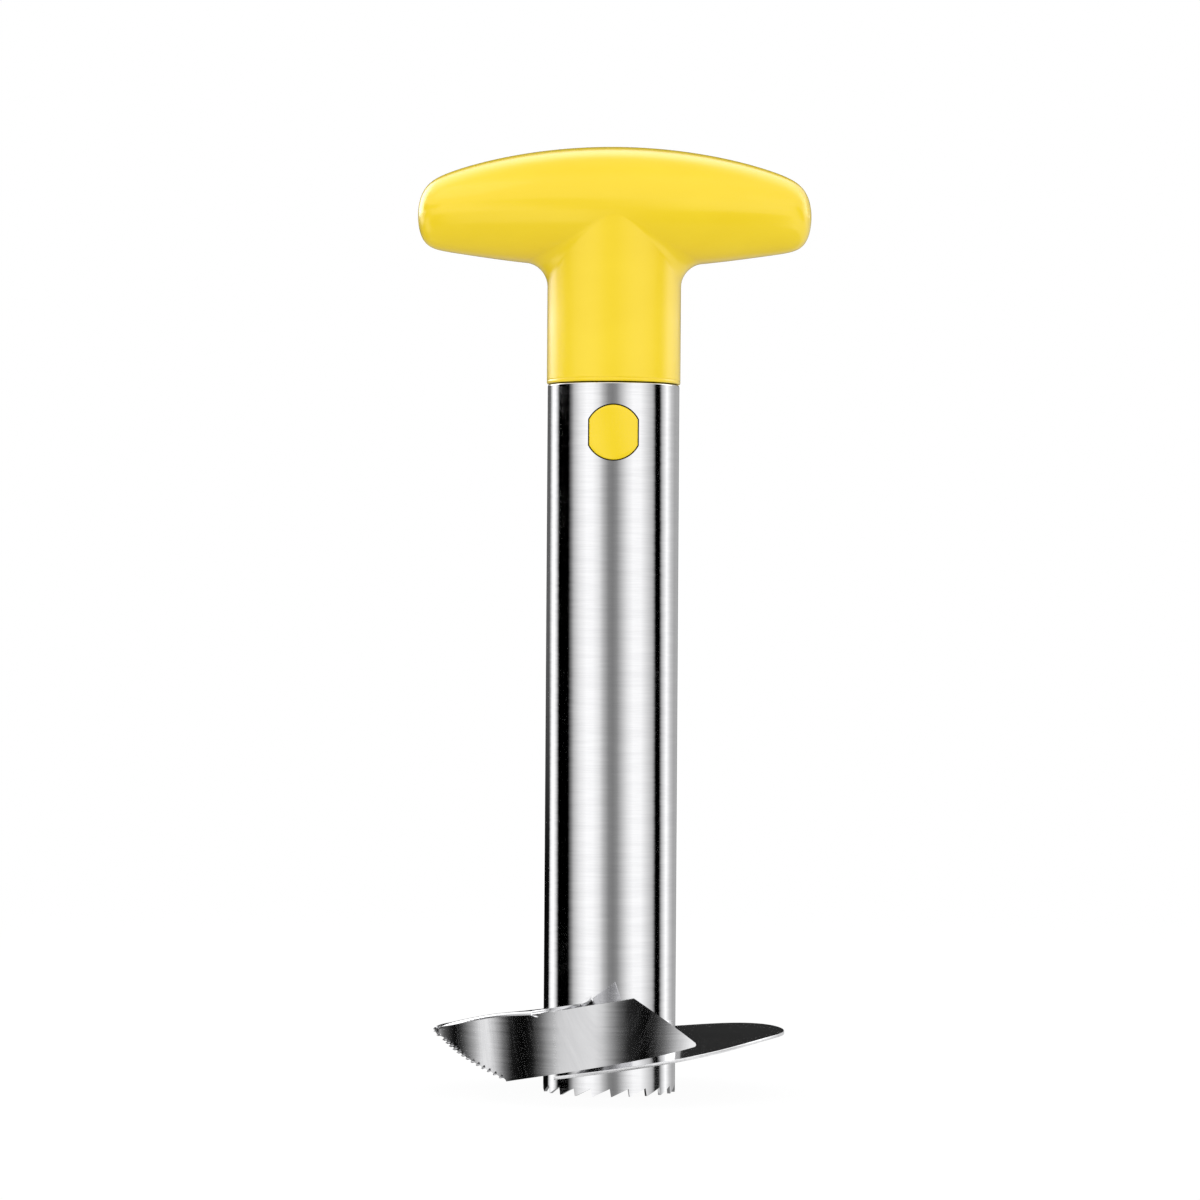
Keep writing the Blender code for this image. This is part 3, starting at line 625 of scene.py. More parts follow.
def blade_sheet():
    """The blade's top and outer face as one open sheet of columns."""
    shape = bmesh.new()
    flat = []
    for angle in even_steps(LOWER_LIP_ANGLE, FOLD_START_ANGLE, RING_STEP_ANGLE)[:-1]:
        rim = round_axis(BLADE_RADIUS, angle, ring_height(angle))
        flat.append(add_points(shape, ring_column(angle) + [rim]))
    folded = [add_points(shape, fold_column(angle))
              for angle in even_steps(FOLD_START_ANGLE, FOLD_END_ANGLE, BAND_STEP_ANGLE)]
    band_start = RING_STEPS_ACROSS + FOLD_STEPS
    tongue = [folded[-1][band_start:]]
    relief_end = UPPER_LIP_ANGLE + math.degrees(2 * RELIEF_RADIUS / BLADE_RADIUS)
    relief_angles = [mix(UPPER_LIP_ANGLE, relief_end, step / RELIEF_STEPS)
                     for step in range(1, RELIEF_STEPS)]
    for angle in relief_angles + even_steps(relief_end, BAND_TAIL_TOP_ANGLE, BAND_STEP_ANGLE):
        tongue.append(add_points(shape, band_column(angle, False)))
    for columns in (flat, folded, tongue):
        join_columns(shape, columns)
    join_columns(shape, [flat[-1][:RING_STEPS_ACROSS + 1], folded[0][:RING_STEPS_ACROSS + 1]])
    fan = folded[0][RING_STEPS_ACROSS:band_start + 1]
    shape.faces.new([flat[-1][-2], flat[-1][-1]] + list(reversed(fan)))
    return mesh_object("ground_spiral_blade", shape, closed=False)


def angle_round(point):
    """A point's angle round the tube, from the front."""
    return math.degrees(math.atan2(point.x, -point.y))


def ring_turn(point):
    """A point's angle along the ring, which runs on past the back to its raised end."""
    angle = angle_round(point)
    return angle if angle > (LOWER_LIP_ANGLE + UPPER_LIP_ANGLE) / 2 else angle + 360


def grind_rim(blade):
    """Grind the top edge of the ring's rim and of its lower lip to a bright bevel."""
    shape = bmesh.new()
    shape.from_mesh(blade.data)
    chosen = []
    for edge in shape.edges:
        turn = ring_turn((edge.verts[0].co + edge.verts[1].co) / 2)
        on_top = all(abs(vertex.co.z - ring_height(turn)) < TOP_SLACK for vertex in edge.verts)
        on_rim = all(vertex.co.xy.length > BLADE_RADIUS - RIM_SLACK for vertex in edge.verts)
        on_lip = abs(turn - LOWER_LIP_ANGLE) < 0.05
        sharp = edge.calc_face_angle(0) > math.radians(50)
        if on_top and sharp and turn < FOLD_START_ANGLE - 1.5 and (on_rim or on_lip):
            chosen.append(edge)
    bmesh.ops.bevel(shape, geom=chosen, offset=RIM_GRIND, offset_type="OFFSET", segments=2,
                    profile=0.5, affect="EDGES", clamp_overlap=True)
    shape.to_mesh(blade.data)
    shape.free()


def sheet_normal(face, _, point):
    """The smooth sheet's normal, on the ring's top, the fold and the band's outer face."""
    lean = math.tan(math.radians(BAND_LEAN))
    up = Vector((0, 0, 1))
    radius = point.xy.length
    turn = ring_turn(point)
    outward = point.xy.to_3d().normalized()
    climb = (ring_height(turn + 0.5) - ring_height(turn - 0.5)) / math.radians(radius)
    top = up - round_axis(climb, turn + 90, 0)
    skins = [top]
    past = (radius - BLADE_RADIUS + FOLD_RADIUS) / FOLD_RADIUS
    if turn > FOLD_START_ANGLE and 0 < past < 1:
        skins.append((outward - up * lean) * past + top * math.sqrt(1 - past * past))
    below_line = band_line(angle_round(point)) - point.z
    if abs(radius - BLADE_RADIUS + lean * below_line) < BAND_SLACK:
        skins.append(outward - up * lean)
    skin = max((skin.normalized() for skin in skins), key=face.normal.dot)
    return skin if skin.dot(face.normal) > SHEET_MATCH else None


def cut_edge(face):
    """Whether a face is on the ring's cut rim or on the end of its lower lip."""
    turn = ring_turn(face.center)
    on_rim = face.center.xy.length > BLADE_RADIUS - RIM_FACE_SLACK and abs(face.normal.z) < 0.9
    at_height = abs(face.center.z - ring_height(turn) + BLADE_THICKNESS / 2) < BLADE_THICKNESS
    on_lip = abs(turn - LOWER_LIP_ANGLE) < 0.1 and abs(face.normal.z) < 0.9
    return on_lip or (on_rim and at_height and turn < FOLD_START_ANGLE - 1)


def ring_steel():
    """The ring and its band: rolled and lightly brushed sheet, its marks running one way."""
    return brushed_steel("ring_steel", (90.0, 4200.0, 90.0), STEEL_SHINE, STEEL_SHADE, 0.07, 0.13,
                         SCRATCH_DEPTH, SHEET_SWAY)


def edge_steel():
    """The sheared edge after linishing: short marks along it, bright and even."""
    return brushed_steel("edge_steel", (900.0, 900.0, 3200.0), EDGE_SHINE, EDGE_SHADE, 0.34, 0.44,
                         LINISH_DEPTH)


def round_ring(shape, centre, first_arm, second_arm, sides):
    """A closed ring of points round a centre, at the length of two arms square to each other."""
    turns = [math.tau * side / sides for side in range(sides)]
    return add_points(shape, [centre + first_arm * math.cos(turn) + second_arm * math.sin(turn)
                              for turn in turns])


def close_rod(shape, rings):
    """A rod with flat ends through rings of points."""
    join_rings(shape, rings)
    shape.faces.new(rings[0])
    shape.faces.new(rings[-1])


def weld_bead(shape, angle):
    """One tack: a rippled bead laid along the corner of the ring's underside and the tube."""
    rings = []
    for step in range(WELD_STEPS + 1):
        share = step / WELD_STEPS
        swell = math.sin(math.pi * mix(0.04, 0.96, share)) ** 0.45
        ripple = 1 + WELD_RIPPLE_SHARE * math.sin(math.tau * WELD_RIPPLES * share)
        radius = WELD_RADIUS * swell * ripple
        turn = angle + mix(-WELD_HALF_SPAN, WELD_HALF_SPAN, share)
        height = ring_height(turn) - BLADE_THICKNESS
        centre = round_axis(TUBE_RADIUS + WELD_STANDOFF, turn, height)
        rings.append(round_ring(shape, centre, round_axis(radius, turn, 0),
                                Vector((0, 0, radius)), WELD_SIDES))
    close_rod(shape, rings)


def colour_ramp(tree, factor, stops):
    """The colour at a factor from 0 to 1, blended between stops of (factor, colour)."""
    ramp = node(tree, "ShaderNodeValToRGB", None, {"Fac": factor})
    elements = ramp.color_ramp.elements
    elements.remove(elements[-1])
    elements[0].position, elements[0].color = stops[0]
    for position, colour in stops[1:]:
        elements.new(position).color = colour
    return ramp.outputs["Color"]


def weld_metal():
    """Weld metal: rippled and dull, straw to blue where it was hottest."""
    material, tree, shader = new_finish("weld_metal", METAL)
    place = object_place(tree)
    colour = colour_ramp(tree, noise(tree, place, 420.0, 3.0), (
        (0.30, (0.42, 0.42, 0.44, 1)), (0.48, (0.50, 0.37, 0.20, 1)),
        (0.60, (0.30, 0.22, 0.30, 1)), (0.75, (0.20, 0.26, 0.42, 1))))
    pits = noise(tree, place, 2600.0)
    lay_finish(tree, shader, colour, span(tree, pits, 0.3, 0.7, 0.32, 0.55), pits, WELD_PIT_DEPTH)
    return material


def build_blade():
    blade = blade_sheet()
    step = blade.modifiers.new("Gauge", "SOLIDIFY")
    step.thickness = BLADE_THICKNESS
    step.offset = -1
    step.use_even_offset = False
    apply_steps(blade)
    grind_rim(blade)
    soften_edges(blade, SHEET_BREAK, 60.0)
    dress(blade, "slicer", [ring_steel(), edge_steel()], ["spiral_blade"], 38.0)
    for face in blade.data.polygons:
        if cut_edge(face):
            face.material_index = 1
    shade_as(blade.data, sheet_normal)
    beads = bmesh.new()
    for angle in WELD_ANGLES:
        weld_bead(beads, angle)
    dress(mesh_object("tack_welds", beads), "slicer", [weld_metal()])


build_blade()


# Handle. A hollow T in yellow plastic, moulded as two halves that meet at a fine parting line on
# the middle plane and are welded together. Its neck is flush with the tube and ends in a thin lip.
NECK_BOTTOM = 0.1796
NECK_RADIUS = 0.0170
NECK_BORE = 0.0144
NECK_LIP = 0.0004
LIP_LINE_RISE = 0.0009
LIP_LINE_DEPTH = 0.00008
LIP_LINE_HALF = 0.00010
SIDE_FILLET = 0.0062
FRONT_FILLET = 0.0020
FILLET_SINK = 0.0002
FILLET_STEPS = 10
NECK_SIDES = 176
NECK_LEVELS = (0.004, 0.010, 0.016)
BAR_HALF_LENGTH = 0.0501
BAR_RADIUS = 0.0172
BAR_TOP = 0.0164
BAR_UNDER = 0.01435
BAR_END_RADIUS = 0.0075
BAR_END_UNDER = 0.0085
BAR_AXIS_HEIGHT = 0.2237
BAR_END_DROP = 0.0012
BAR_END_POWER = 28
BAR_DROP_POWER = 6
BAR_SIDES = 144
BAR_STEPS = 56
BORE_TOP = 0.2140
BORE_OVERRUN = 0.004
PARTING_DEPTH = 0.00009
YELLOW = (1.0, 0.738, 0.019, 1.0)
YELLOW_DEEP = (0.965, 0.700, 0.012, 1.0)
PLASTIC_COAT = {"IOR": 1.49, "Specular IOR Level": 0.15, "Coat Roughness": 0.17}


def moulded_plastic_group():
    """Moulded plastic: slow tone drift from the flow, spark-eroded texture and hairline scuffs."""
    tree, given, result = new_group(
        "moulded_plastic",
        {"Tone": "Color", "Deep Tone": "Color", "Satin": "Float", "Scuffs": "Float"},
        {"Colour": "Color", "Roughness": "Float", "Height": "Float"})
    place = object_place(tree)
    flow = span(tree, noise(tree, place, (38.0, 38.0, 70.0), 3.0, 0.55), 0.3, 0.7)
    speckle = noise(tree, place, 2100.0, 1.0)
    texture = noise(tree, place, 1150.0)
    hairlines = noise(tree, place, (2600.0, 240.0, 900.0), 2.0, 0.7)
    scuffs = times(tree, span(tree, hairlines, 0.66, 0.74), given["Scuffs"])
    tone = weigh(tree, flow, speckle, 0.8)
    rough = calculate(tree, "MULTIPLY_ADD", texture, 0.08, given["Satin"])
    rough = calculate(tree, "MULTIPLY_ADD", scuffs, 0.18, rough)
    height = calculate(tree, "SUBTRACT", texture, times(tree, scuffs, 0.8))
    tree.links.new(blend_colours(tree, tone, given["Tone"], given["Deep Tone"]), result["Colour"])
    tree.links.new(rough, result["Roughness"])
    tree.links.new(height, result["Height"])
    return tree


MOULDED_PLASTIC = moulded_plastic_group()


def plastic(name, tone, deep_tone, satin, scuffs, depth, gloss=1.0):
    """A moulded finish: its texture that deep, under as much of the smooth skin as the gloss."""
    material, tree, shader = new_finish(name, {**PLASTIC_COAT, "Coat Weight": gloss})
    marks = use_group(tree, MOULDED_PLASTIC, {"Tone": tone, "Deep Tone": deep_tone, "Satin": satin,
                                              "Scuffs": scuffs})
    lay_finish(tree, shader, marks["Colour"], marks["Roughness"], marks["Height"], depth)
    return material


def barrel_radius(share):
    """Radius of the bar from front to back, at a share of its half length from the middle."""
    return mix(BAR_RADIUS, BAR_END_RADIUS, share ** 2)


def bar_under(share):
    """Depth of the bar's flatter underside below its axis."""
    return mix(BAR_UNDER, BAR_END_UNDER, share ** 2)


def close_with_point(shape, ring, tip):
    """Triangles from a closed ring to one point."""
    point = shape.verts.new(tip)
    for first, second in zip(ring, ring[1:] + ring[:1]):
        shape.faces.new((first, second, point))


def bar_skin():
    """The bar: a barrel with rounded ends that droop a little, with the parting line let in."""
    shape = bmesh.new()
    rings = []
    for step in range(-BAR_STEPS + 1, BAR_STEPS):
        share = math.sin(math.radians(90) * step / BAR_STEPS)
        round_off = math.sqrt(1 - abs(share) ** BAR_END_POWER)
        radius = barrel_radius(share) * round_off
        over = mix(BAR_TOP, BAR_END_RADIUS, share ** 2) * round_off
        under = bar_under(share) * round_off
        middle = BAR_AXIS_HEIGHT - BAR_END_DROP * abs(share) ** BAR_DROP_POWER
        points = []
        for side in range(BAR_SIDES):
            turn = math.tau * side / BAR_SIDES
            sink = PARTING_DEPTH if side % (BAR_SIDES // 2) == 0 else 0
            rise = (over if math.cos(turn) > 0 else under) - sink
            points.append((BAR_HALF_LENGTH * share, (radius - sink) * math.sin(turn),
                           middle + rise * math.cos(turn)))
        rings.append(add_points(shape, points))
    join_rings(shape, rings)
    for ring, side in ((rings[0], -1), (rings[-1], 1)):
        close_with_point(shape, ring, (side * BAR_HALF_LENGTH, 0, BAR_AXIS_HEIGHT - BAR_END_DROP))
    return mesh_object("bar_skin", shape)


def fillet_points(turn, sink):
    """Points up a fillet rolled into the corner of neck and bar, at one angle from the front."""
    fillet = mix(FRONT_FILLET, SIDE_FILLET, math.sin(turn) ** 2)
    across = (NECK_RADIUS + fillet) * math.sin(turn)
    along = -(NECK_RADIUS + fillet) * math.cos(turn)
    share = across / BAR_HALF_LENGTH
    reach = barrel_radius(share) + fillet
    depth = bar_under(share) + fillet
    fall = depth * math.sqrt(max(0, 1 - (along / reach) ** 2))
    centre = Vector((across, along, BAR_AXIS_HEIGHT - fall))
    to_neck = Vector((-math.sin(turn), math.cos(turn), 0))
    to_bar = Vector((0, -along / reach ** 2, fall / depth ** 2)).normalized()
    points = []
    for step in range(FILLET_STEPS + 1):
        radius = fillet + sink + (FILLET_SINK if step == FILLET_STEPS else 0)
        points.append(centre + radius * to_neck.slerp(to_bar, step / FILLET_STEPS))
    return points


def neck_skin():
    """The neck: lip, fine line above it, straight wall, fillet, and a last ring inside the bar."""
    wall = [(-short, rise) for rise, short in quarter_round(NECK_LIP, 4)]
    wall += [(0.0, LIP_LINE_RISE - LIP_LINE_HALF), (-LIP_LINE_DEPTH, LIP_LINE_RISE),
             (0.0, LIP_LINE_RISE + LIP_LINE_HALF), (0.0, LIP_LINE_RISE + 3 * LIP_LINE_HALF)]
    wall += [(0.0, rise) for rise in NECK_LEVELS]
    shape = bmesh.new()
    columns = []
    for side in range(NECK_SIDES):
        turn = math.tau * side / NECK_SIDES
        sink = PARTING_DEPTH if side % (NECK_SIDES // 2) == NECK_SIDES // 4 else 0
        outward = Vector((math.sin(turn), -math.cos(turn), 0))
        points = [outward * (NECK_RADIUS + offset - sink) + Vector((0, 0, NECK_BOTTOM + rise))
                  for offset, rise in wall]
        points += fillet_points(turn, sink)
        points.append(outward * NECK_BORE + Vector((0, 0, BAR_AXIS_HEIGHT)))
        columns.append(add_points(shape, points))
    join_columns(shape, columns + columns[:1])
    shape.faces.new([column[0] for column in columns])
    shape.faces.new([column[-1] for column in columns])
    return mesh_object("neck_skin", shape)


def skin_normal(sources):
    """The rule that shades a joined mesh as smooth as the skins that it was joined from."""
    lookups = []
    for source in sources:
        corners = [vertex.co.copy() for vertex in source.vertices]
        faces = [tuple(face.vertices) for face in source.polygons]
        facing = [vertex.normal.copy() for vertex in source.vertices]
        lookups.append((BVHTree.FromPolygons(corners, faces), corners, faces, facing))

    def true_normal(face, _, point):
        found = []
        for tree, corners, faces, facing in lookups:
            spot, _, index, distance = tree.find_nearest(point)
            found.append((distance, spot, index, corners, faces, facing))
        _, spot, index, corners, faces, facing = min(found, key=lambda item: item[0])
        shares = poly_3d_calc([corners[vertex] for vertex in faces[index]], spot)
        parts = [facing[vertex] * share for vertex, share in zip(faces[index], shares)]
        normal = sum(parts, Vector((0, 0, 0))).normalized()
        return normal if normal.dot(face.normal) > 0.9 else None

    return true_normal


def handle_half(name, whole, side):
    """The part of the whole handle on one side of the middle plane, closed along it."""
    shape = bmesh.new()
    shape.from_mesh(whole.data)
    geometry = list(shape.verts) + list(shape.edges) + list(shape.faces)
    cut = bmesh.ops.bisect_plane(shape, geom=geometry, dist=0.0000005, plane_co=(0, 0, 0),
                                 plane_no=(0, -side, 0), clear_outer=True)
    rim = [item for item in cut["geom_cut"] if isinstance(item, bmesh.types.BMEdge)]
    bmesh.ops.holes_fill(shape, edges=rim, sides=0)
    return mesh_object(name, shape)


def build_handle():
    bar = bar_skin()
    neck = neck_skin()
    as_moulded = skin_normal([bar.data, neck.data])
    cut_or_join(bar, neck, "UNION")
    bore = bmesh.new()
    below = NECK_BOTTOM - BORE_OVERRUN
    bmesh.ops.create_cone(bore, cap_ends=True, segments=NECK_SIDES, radius1=NECK_BORE,
                          radius2=NECK_BORE, depth=BORE_TOP - below)
    bmesh.ops.translate(bore, verts=bore.verts, vec=(0, 0, (BORE_TOP + below) / 2))
    cut_or_join(bar, mesh_object("neck_bore", bore), "DIFFERENCE")
    finish = plastic("handle_plastic", YELLOW, YELLOW_DEEP, 0.30, 0.25, 0.000006)
    for name, side, node_name in (("handle_front_half", -1, "handle_front_shell"),
                                  ("handle_rear_half", 1, "handle_rear_shell")):
        half = handle_half(name, bar, side)
        dress(half, "slicer", [finish], [node_name])
        shade_as(half.data, as_moulded)
    bpy.data.objects.remove(bar, do_unlink=True)


build_handle()


# Latch buttons. Moulded in the handle's yellow: a crowned head that fills its hole in the tube,
# a stop flange behind it, and a pin that guides the spring. Each is pushed out by its spring.
BUTTON_FACE = 0.01715
BUTTON_CROWN = 0.00025
BUTTON_EDGE = 0.00035
FLANGE_FRONT = 0.01049
FLANGE_THICKNESS = 0.0012
FLANGE_RADIUS = 0.0082
PIN_RADIUS = 0.0018
PIN_END = 0.0043
FLANGE_BREAK = 0.0002
PIN_BREAK = 0.0003
CROWN_SHARES = (0.15, 0.3, 0.45, 0.6, 0.75, 0.88)
BUTTON_YELLOW = (1.0, 0.735, 0.008, 1.0)
BUTTON_YELLOW_DEEP = (0.965, 0.700, 0.006, 1.0)


def head_ring(shape, side, inset, fall=0.0, share=1.0):
    """One ring of the button's face, on the tube's curve: an inset outline, or a share of it."""
    points = []
    for x, z in latch_outline(inset):
        x, z = x * share, z * share
        reach = math.hypot(x, z) / LATCH_RADIUS
        depth = math.sqrt(BUTTON_FACE ** 2 - x ** 2) - BUTTON_CROWN * reach ** 2 - fall
        points.append((x, side * depth, LATCH_HEIGHT + z))
    return add_points(shape, points)


def build_button(name, side, body, node_name, finish):
    shape = bmesh.new()
    rings = [head_ring(shape, side, BUTTON_EDGE, share=share) for share in CROWN_SHARES]
    for fall, inset in quarter_round(BUTTON_EDGE, 4):
        rings.append(head_ring(shape, side, inset, fall))
    back = [(vertex.co.x, side * FLANGE_FRONT, vertex.co.z) for vertex in rings[-1]]
    rings.append(add_points(shape, back))
    sweep = [math.atan2(z - LATCH_HEIGHT, x) for x, _, z in back]
    flange_back = FLANGE_FRONT - FLANGE_THICKNESS
    for radius, depth in ((FLANGE_RADIUS - FLANGE_BREAK, FLANGE_FRONT),
                          (FLANGE_RADIUS, FLANGE_FRONT - FLANGE_BREAK),
                          (FLANGE_RADIUS, flange_back + FLANGE_BREAK),
                          (FLANGE_RADIUS - FLANGE_BREAK, flange_back),
                          (PIN_RADIUS, flange_back), (PIN_RADIUS, PIN_END + PIN_BREAK),
                          (PIN_RADIUS - PIN_BREAK, PIN_END)):
        points = [(radius * math.cos(turn), side * depth, LATCH_HEIGHT + radius * math.sin(turn))
                  for turn in sweep]
        rings.append(add_points(shape, points))
    join_rings(shape, rings)
    close_with_point(shape, rings[0], (0, side * BUTTON_FACE, LATCH_HEIGHT))
    shape.faces.new(rings[-1])
    dress(mesh_object(name, shape), body, [finish], [node_name])


button_finish = plastic("button_plastic", BUTTON_YELLOW, BUTTON_YELLOW_DEEP, 0.33, 0.15, 0.000005)
build_button("front_latch_button", -1, "front_button", "front_button", button_finish)
build_button("rear_latch_button", 1, "rear_button", "rear_button", button_finish)


# Latch stem. A black glass-filled nylon sleeve, moulded in one piece, clamped by the ribs in the
# handle's neck. It slides into the tube and carries both buttons.
STEM_BLACK = (0.028, 0.028, 0.030, 1.0)
STEM_BLACK_DEEP = (0.016, 0.016, 0.018, 1.0)
stem_finish = plastic("stem_plastic", STEM_BLACK, STEM_BLACK_DEEP, 0.46, 0.5, 0.000012, 0.0)
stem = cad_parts["latch_stem"]
stem.data.materials.clear()
stem.data.materials.append(stem_finish)


# Button springs. Each is wound from round music wire on the button's pin and stands on the stem's
# web, so it shortens as the button is pressed. The skin is tempered to a straw-tinged grey.
SPRING_RADIUS = 0.0030
SPRING_WIRE_RADIUS = 0.0003
SPRING_TURNS = 4.5
SPRING_STEPS_PER_TURN = 24
SPRING_WIRE_SIDES = 8
SPRING_GREY = (0.46, 0.46, 0.47, 1.0)
SPRING_STRAW = (0.50, 0.45, 0.38, 1.0)
DRAW_LINE_DEPTH = 0.000006


def spring_wire():
    """Drawn wire: fine lines, and temper colour in soft patches."""
    material, tree, shader = new_finish("spring_steel", METAL)
    place = object_place(tree)
    temper = span(tree, noise(tree, place, 700.0, 3.0), 0.3, 0.7)
    colour = blend_colours(tree, temper, SPRING_GREY, SPRING_STRAW)
    lines = noise(tree, place, 5200.0, 2.0, 0.7)
    rough = span(tree, lines, 0.3, 0.7, 0.22, 0.40)
    lay_finish(tree, shader, colour, rough, lines, DRAW_LINE_DEPTH)
    return material


def build_spring(name, side, node_name, finish):
    low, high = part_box(node_name)
    fixed_end, free_end = sorted((abs(low[1]), abs(high[1])))
    shape = bmesh.new()
    rings = []
    count = round(SPRING_TURNS * SPRING_STEPS_PER_TURN)
    for step in range(count + 1):
        turn = math.tau * step / SPRING_STEPS_PER_TURN
        outward = Vector((math.cos(turn), 0, math.sin(turn)))
        depth = mix(free_end - SPRING_WIRE_RADIUS, fixed_end + SPRING_WIRE_RADIUS, step / count)
        centre = SPRING_RADIUS * outward + Vector((0, side * depth, LATCH_HEIGHT))
        rings.append(round_ring(shape, centre, SPRING_WIRE_RADIUS * outward,
                                Vector((0, SPRING_WIRE_RADIUS, 0)), SPRING_WIRE_SIDES))
    close_rod(shape, rings)
    spring = mesh_object(name, shape)
    dress(spring, "slicer", [finish], [node_name])
    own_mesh(spring)


spring_finish = spring_wire()
build_spring("front_latch_spring", -1, "front_button_spring", spring_finish)
build_spring("rear_latch_spring", 1, "rear_button_spring", spring_finish)


# Studio. A white sweep under soft light. The steel mirrors what stands round it, so the surround
# that glossy rays meet is a ring of white panels and black flags, and other rays meet even light.
# Each surround below is a ring of stops: degrees from the front, and brightness.
TUBE_SURROUND = ((-180, 0.13), (-146, 0.13), (-142, 0.45), (-133, 1.15), (-126, 1.35),
                 (-118.5, 0.90), (-110, 0.0), (-85, 0.0), (-78, 0.30), (-73, 0.60), (-62, 0.95),
                 (-48, 1.19), (-37, 1.17), (-26, 0.93), (-18, 0.56), (-9, 0.28), (-2, 0.24),
                 (5, 0.31), (15, 0.65), (24, 0.95), (34, 1.17), (48, 1.15), (62, 0.80), (71, 0.58),
                 (75, 0.34), (79, 0.0), (89, 0.0), (95, 0.56), (108, 1.28), (122, 0.68),
                 (136, 0.46), (180, 0.42))
BAND_SURROUND = ((-180, 0.35), (-150, 0.30), (-143, 0.12), (-131, 0.02), (-123, 0.0), (-116, 0.04),
                 (-110, 0.17), (-103, 0.42), (-95, 0.92), (-89, 1.0), (-83, 0.65), (-76, 0.18),
                 (-70, 0.01), (-60, 0.0), (-53, 0.01), (-47, 0.13), (-40, 0.45), (-34, 0.76),
                 (-28, 0.80), (-10, 0.87), (-5, 0.73), (0, 0.40), (6, 0.14), (12, 0.02), (25, 0.0),
                 (31, 0.03), (38, 0.17), (45, 0.50), (56, 1.0), (68, 1.15), (90, 0.90), (180, 0.35))
HANDLE_SURROUND = ((-180, 0.1), (-160, 0.1), (-148, 3.0), (-138, 3.6), (-116, 3.4), (-110, 5.5),
                   (-102, 5.5), (-92, 1.5), (-82, 0.8), (75, 0.8), (92, 1.0), (106, 2.0),
                   (122, 2.2), (142, 2.0), (152, 0.1), (180, 0.1))
# The tube's surround turns by its lean for each degree of rise, so that its stripes stay upright.
TUBE_SURROUND_LEAN = 0.96
TUBE_SURROUND_SHIFT = -3.2
FLAG = 0.026
EVEN_LOW = 0.87
EVEN_HIGH = 1.06
FLOOR_RADIUS = 0.9
FLOOR_RINGS = 12
FLOOR_SIDES = 96
FLOOR_DROP = 0.0002
FLOOR_FADE_START = 0.25
FLOOR_FADE_END = 0.85
CAMERA_PLACE = (-0.0031, -1.1656, 0.1120)
CAMERA_RISE_ANGLE = 0.6255
CAMERA_ROLL_ANGLE = 0.38
CAMERA_LENS = 137.4


def grey(value):
    return (value, value, value, 1.0)


def surround_ramp(tree, turn, stops):
    """The ring's brightness at a turn, which is 0 at one side of the back and 1 at the other."""
    return colour_ramp(tree, turn, [((angle + 180) / 360, grey(value)) for angle, value in stops])


def studio_world():
    world = bpy.data.worlds.new("studio")
    world.use_nodes = True
    world.cycles.sampling_method = "NONE"
    tree = world.node_tree
    tree.nodes.clear()
    direction = node(tree, "ShaderNodeTexCoord").outputs["Generated"]
    parts = node(tree, "ShaderNodeSeparateXYZ", None, {0: direction}).outputs
    azimuth = calculate(tree, "ARCTAN2", parts["X"], times(tree, parts["Y"], -1.0))
    turn = calculate(tree, "MULTIPLY_ADD", azimuth, 1 / math.tau, 0.5)
    front_angle = calculate(tree, "DEGREES", azimuth)
    back_angle = calculate(tree, "SUBTRACT", 180.0, calculate(tree, "ABSOLUTE", front_angle))
    rise_angle = calculate(tree, "DEGREES", calculate(tree, "ARCSINE", parts["Z"]))
    lean = calculate(tree, "MULTIPLY_ADD", rise_angle, TUBE_SURROUND_LEAN / 360,
                     TUBE_SURROUND_SHIFT / 360)

    def from_front(start, end):
        return span(tree, front_angle, start, end)

    def from_back(start, end):
        return span(tree, back_angle, start, end)

    def rise(start, end):
        return span(tree, rise_angle, start, end)

    def both(first, second):
        return times(tree, first, second)

    def either(first, second):
        return calculate(tree, "MAXIMUM", first, second)

    right_panel = both(from_front(98.0, 104.0), from_front(132.0, 126.0))
    tall_panels = both(either(from_front(-114.0, -120.0), right_panel), rise(46.0, 38.0))
    narrow = both(from_back(13.0, 9.0), rise(-8.0, -7.0))
    wide = both(from_back(24.0, 17.0), rise(3.7, 4.2))
    layers = {
        "low left flag": (both(from_front(-132.0, -137.0), rise(1.0, -3.0)), grey(0.003)),
        "below the tube": (rise(-5.8, -6.8), surround_ramp(tree, turn, BAND_SURROUND)),
        "ground": (rise(-32.0, -40.0), grey(0.22)),
        "upper left flag": (both(rise(9.0, 10.0), from_front(-48.0, -56.0)), grey(FLAG)),
        "overhead": (rise(17.0, 20.0), grey(0.95)),
        "handle's panels": (both(rise(4.2, 4.6), either(rise(5.6, 5.1), tall_panels)),
                            surround_ramp(tree, turn, HANDLE_SURROUND)),
        "panel over the back": (both(rise(30.0, 50.0), from_back(100.0, 60.0)), grey(1.9)),
        "ceiling": (rise(58.0, 76.0), grey(0.55)),
        "flag behind": (both(either(narrow, wide), rise(44.0, 36.0)), grey(FLAG))}
    glossy = surround_ramp(tree, calculate(tree, "ADD", turn, lean), TUBE_SURROUND)
    for mask, light in layers.values():
        glossy = blend_colours(tree, mask, glossy, light)
    even = blend_colours(tree, rise(-25.0, 20.0), grey(EVEN_LOW), grey(EVEN_HIGH))
    rays = node(tree, "ShaderNodeLightPath").outputs
    light = blend_colours(tree, rays["Is Glossy Ray"], even, glossy)
    seen = blend_colours(tree, rays["Is Camera Ray"], light, grey(1.0))
    shine = node(tree, "ShaderNodeBackground", None, {"Color": seen, "Strength": 1.0})
    output = node(tree, "ShaderNodeOutputWorld")
    tree.links.new(shine.outputs[0], output.inputs["Surface"])
    bpy.context.scene.world = world


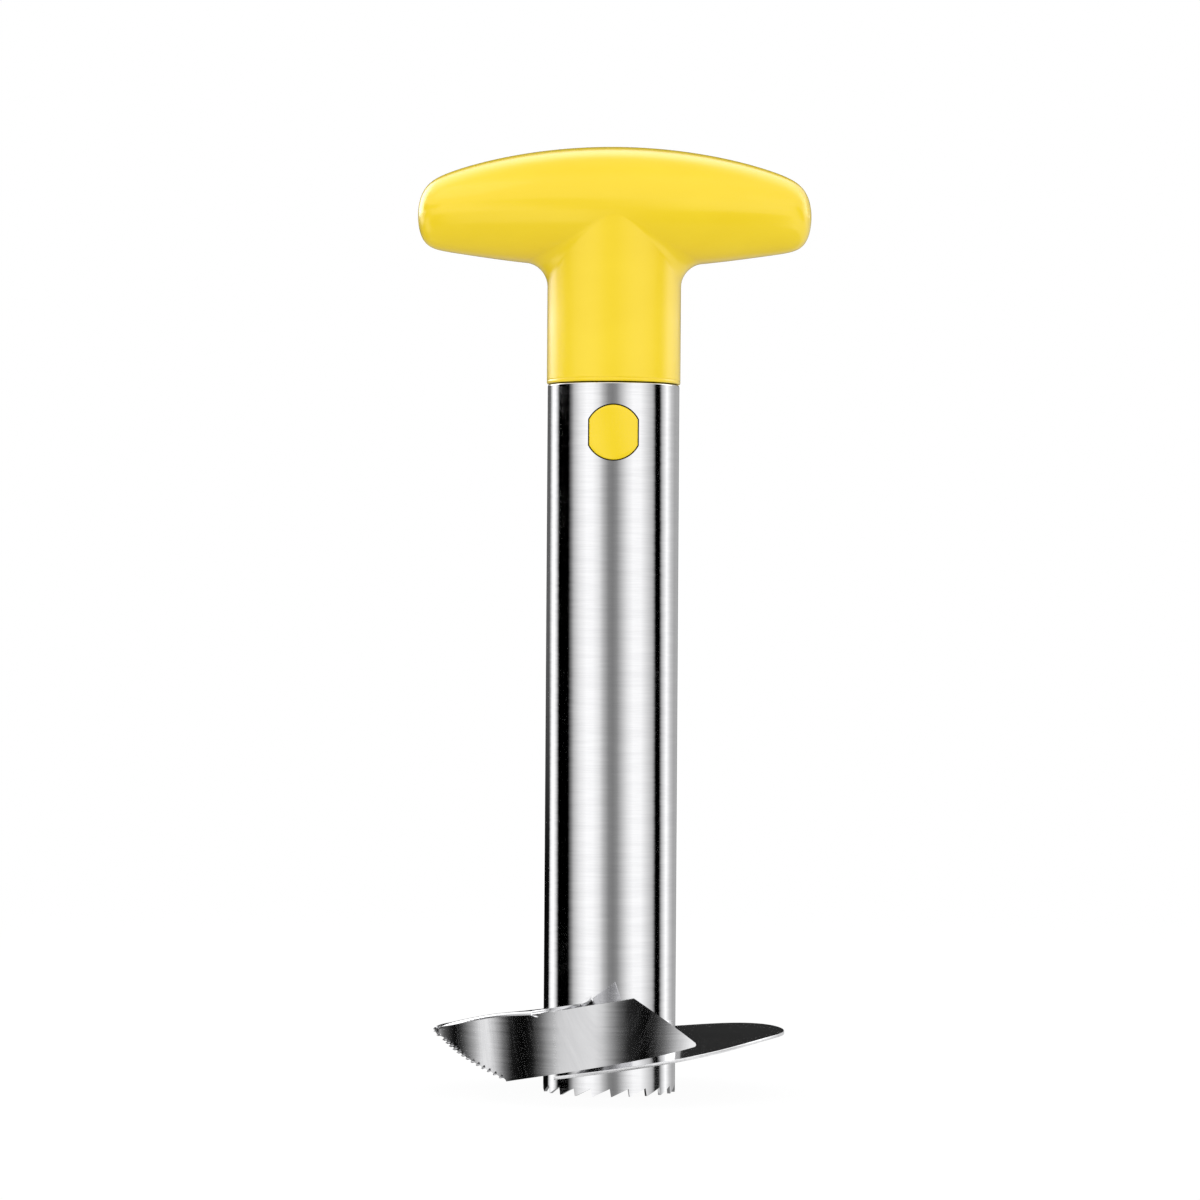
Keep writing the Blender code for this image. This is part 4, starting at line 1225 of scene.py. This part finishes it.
def studio_floor():
    """A round white floor that fades into the background, so that it shows no horizon."""
    shape = bmesh.new()
    rings = []
    for step in range(1, FLOOR_RINGS + 1):
        radius = FLOOR_RADIUS * step / FLOOR_RINGS
        rings.append(round_ring(shape, Vector((0, 0, 0)), Vector((radius, 0, 0)),
                                Vector((0, radius, 0)), FLOOR_SIDES))
    shape.faces.new(rings[0])
    join_rings(shape, rings[::-1])
    floor = mesh_object("studio_floor", shape, closed=False)
    floor.location.z = -FLOOR_DROP
    material, tree, shader = new_finish("sweep_white", {
        "Base Color": grey(0.05), "Roughness": 0.9, "Specular IOR Level": 0.0,
        "Emission Color": grey(1.0), "Emission Strength": 0.96})
    distance = node(tree, "ShaderNodeVectorMath", {"operation": "LENGTH"}, {0: object_place(tree)})
    fade = span(tree, distance.outputs["Value"], FLOOR_FADE_START, FLOOR_FADE_END, 1.0, 0.0)
    tree.links.new(fade, shader.inputs["Alpha"])
    floor.data.materials.append(material)
    floor.visible_glossy = False
    floor.visible_diffuse = False


def softbox(name, place, aim, width, height, power):
    lamp = bpy.data.lights.new(name, "AREA")
    lamp.shape = "RECTANGLE"
    lamp.size = width
    lamp.size_y = height
    lamp.energy = power
    box = bpy.data.objects.new(name, lamp)
    box.location = place
    box.rotation_euler = (Vector(aim) - Vector(place)).to_track_quat("-Z", "Y").to_euler()
    bpy.context.scene.collection.objects.link(box)
    box.visible_camera = False


def studio_camera():
    lens = bpy.data.cameras.new("studio_camera")
    lens.lens = CAMERA_LENS
    lens.sensor_width = 36.0
    lens.clip_start = 0.05
    lens.clip_end = 20.0
    camera = bpy.data.objects.new("studio_camera", lens)
    tilt = Matrix.Rotation(math.radians(90 + CAMERA_RISE_ANGLE), 4, "X")
    roll = Matrix.Rotation(math.radians(CAMERA_ROLL_ANGLE), 4, "Z")
    camera.matrix_world = Matrix.Translation(CAMERA_PLACE) @ tilt @ roll
    bpy.context.scene.collection.objects.link(camera)
    bpy.context.scene.camera = camera


studio_world()
studio_floor()
softbox("key_softbox", (-0.45, -0.30, 0.75), (0.0, 0.0, 0.19), 0.45, 0.35, 0.25)
softbox("fill_softbox", (0.70, -0.55, 0.55), (0.0, 0.0, 0.15), 0.5, 0.5, 0.2)
studio_camera()
bpy.context.scene.view_settings.view_transform = "Standard"
bpy.context.scene.view_settings.look = "None"
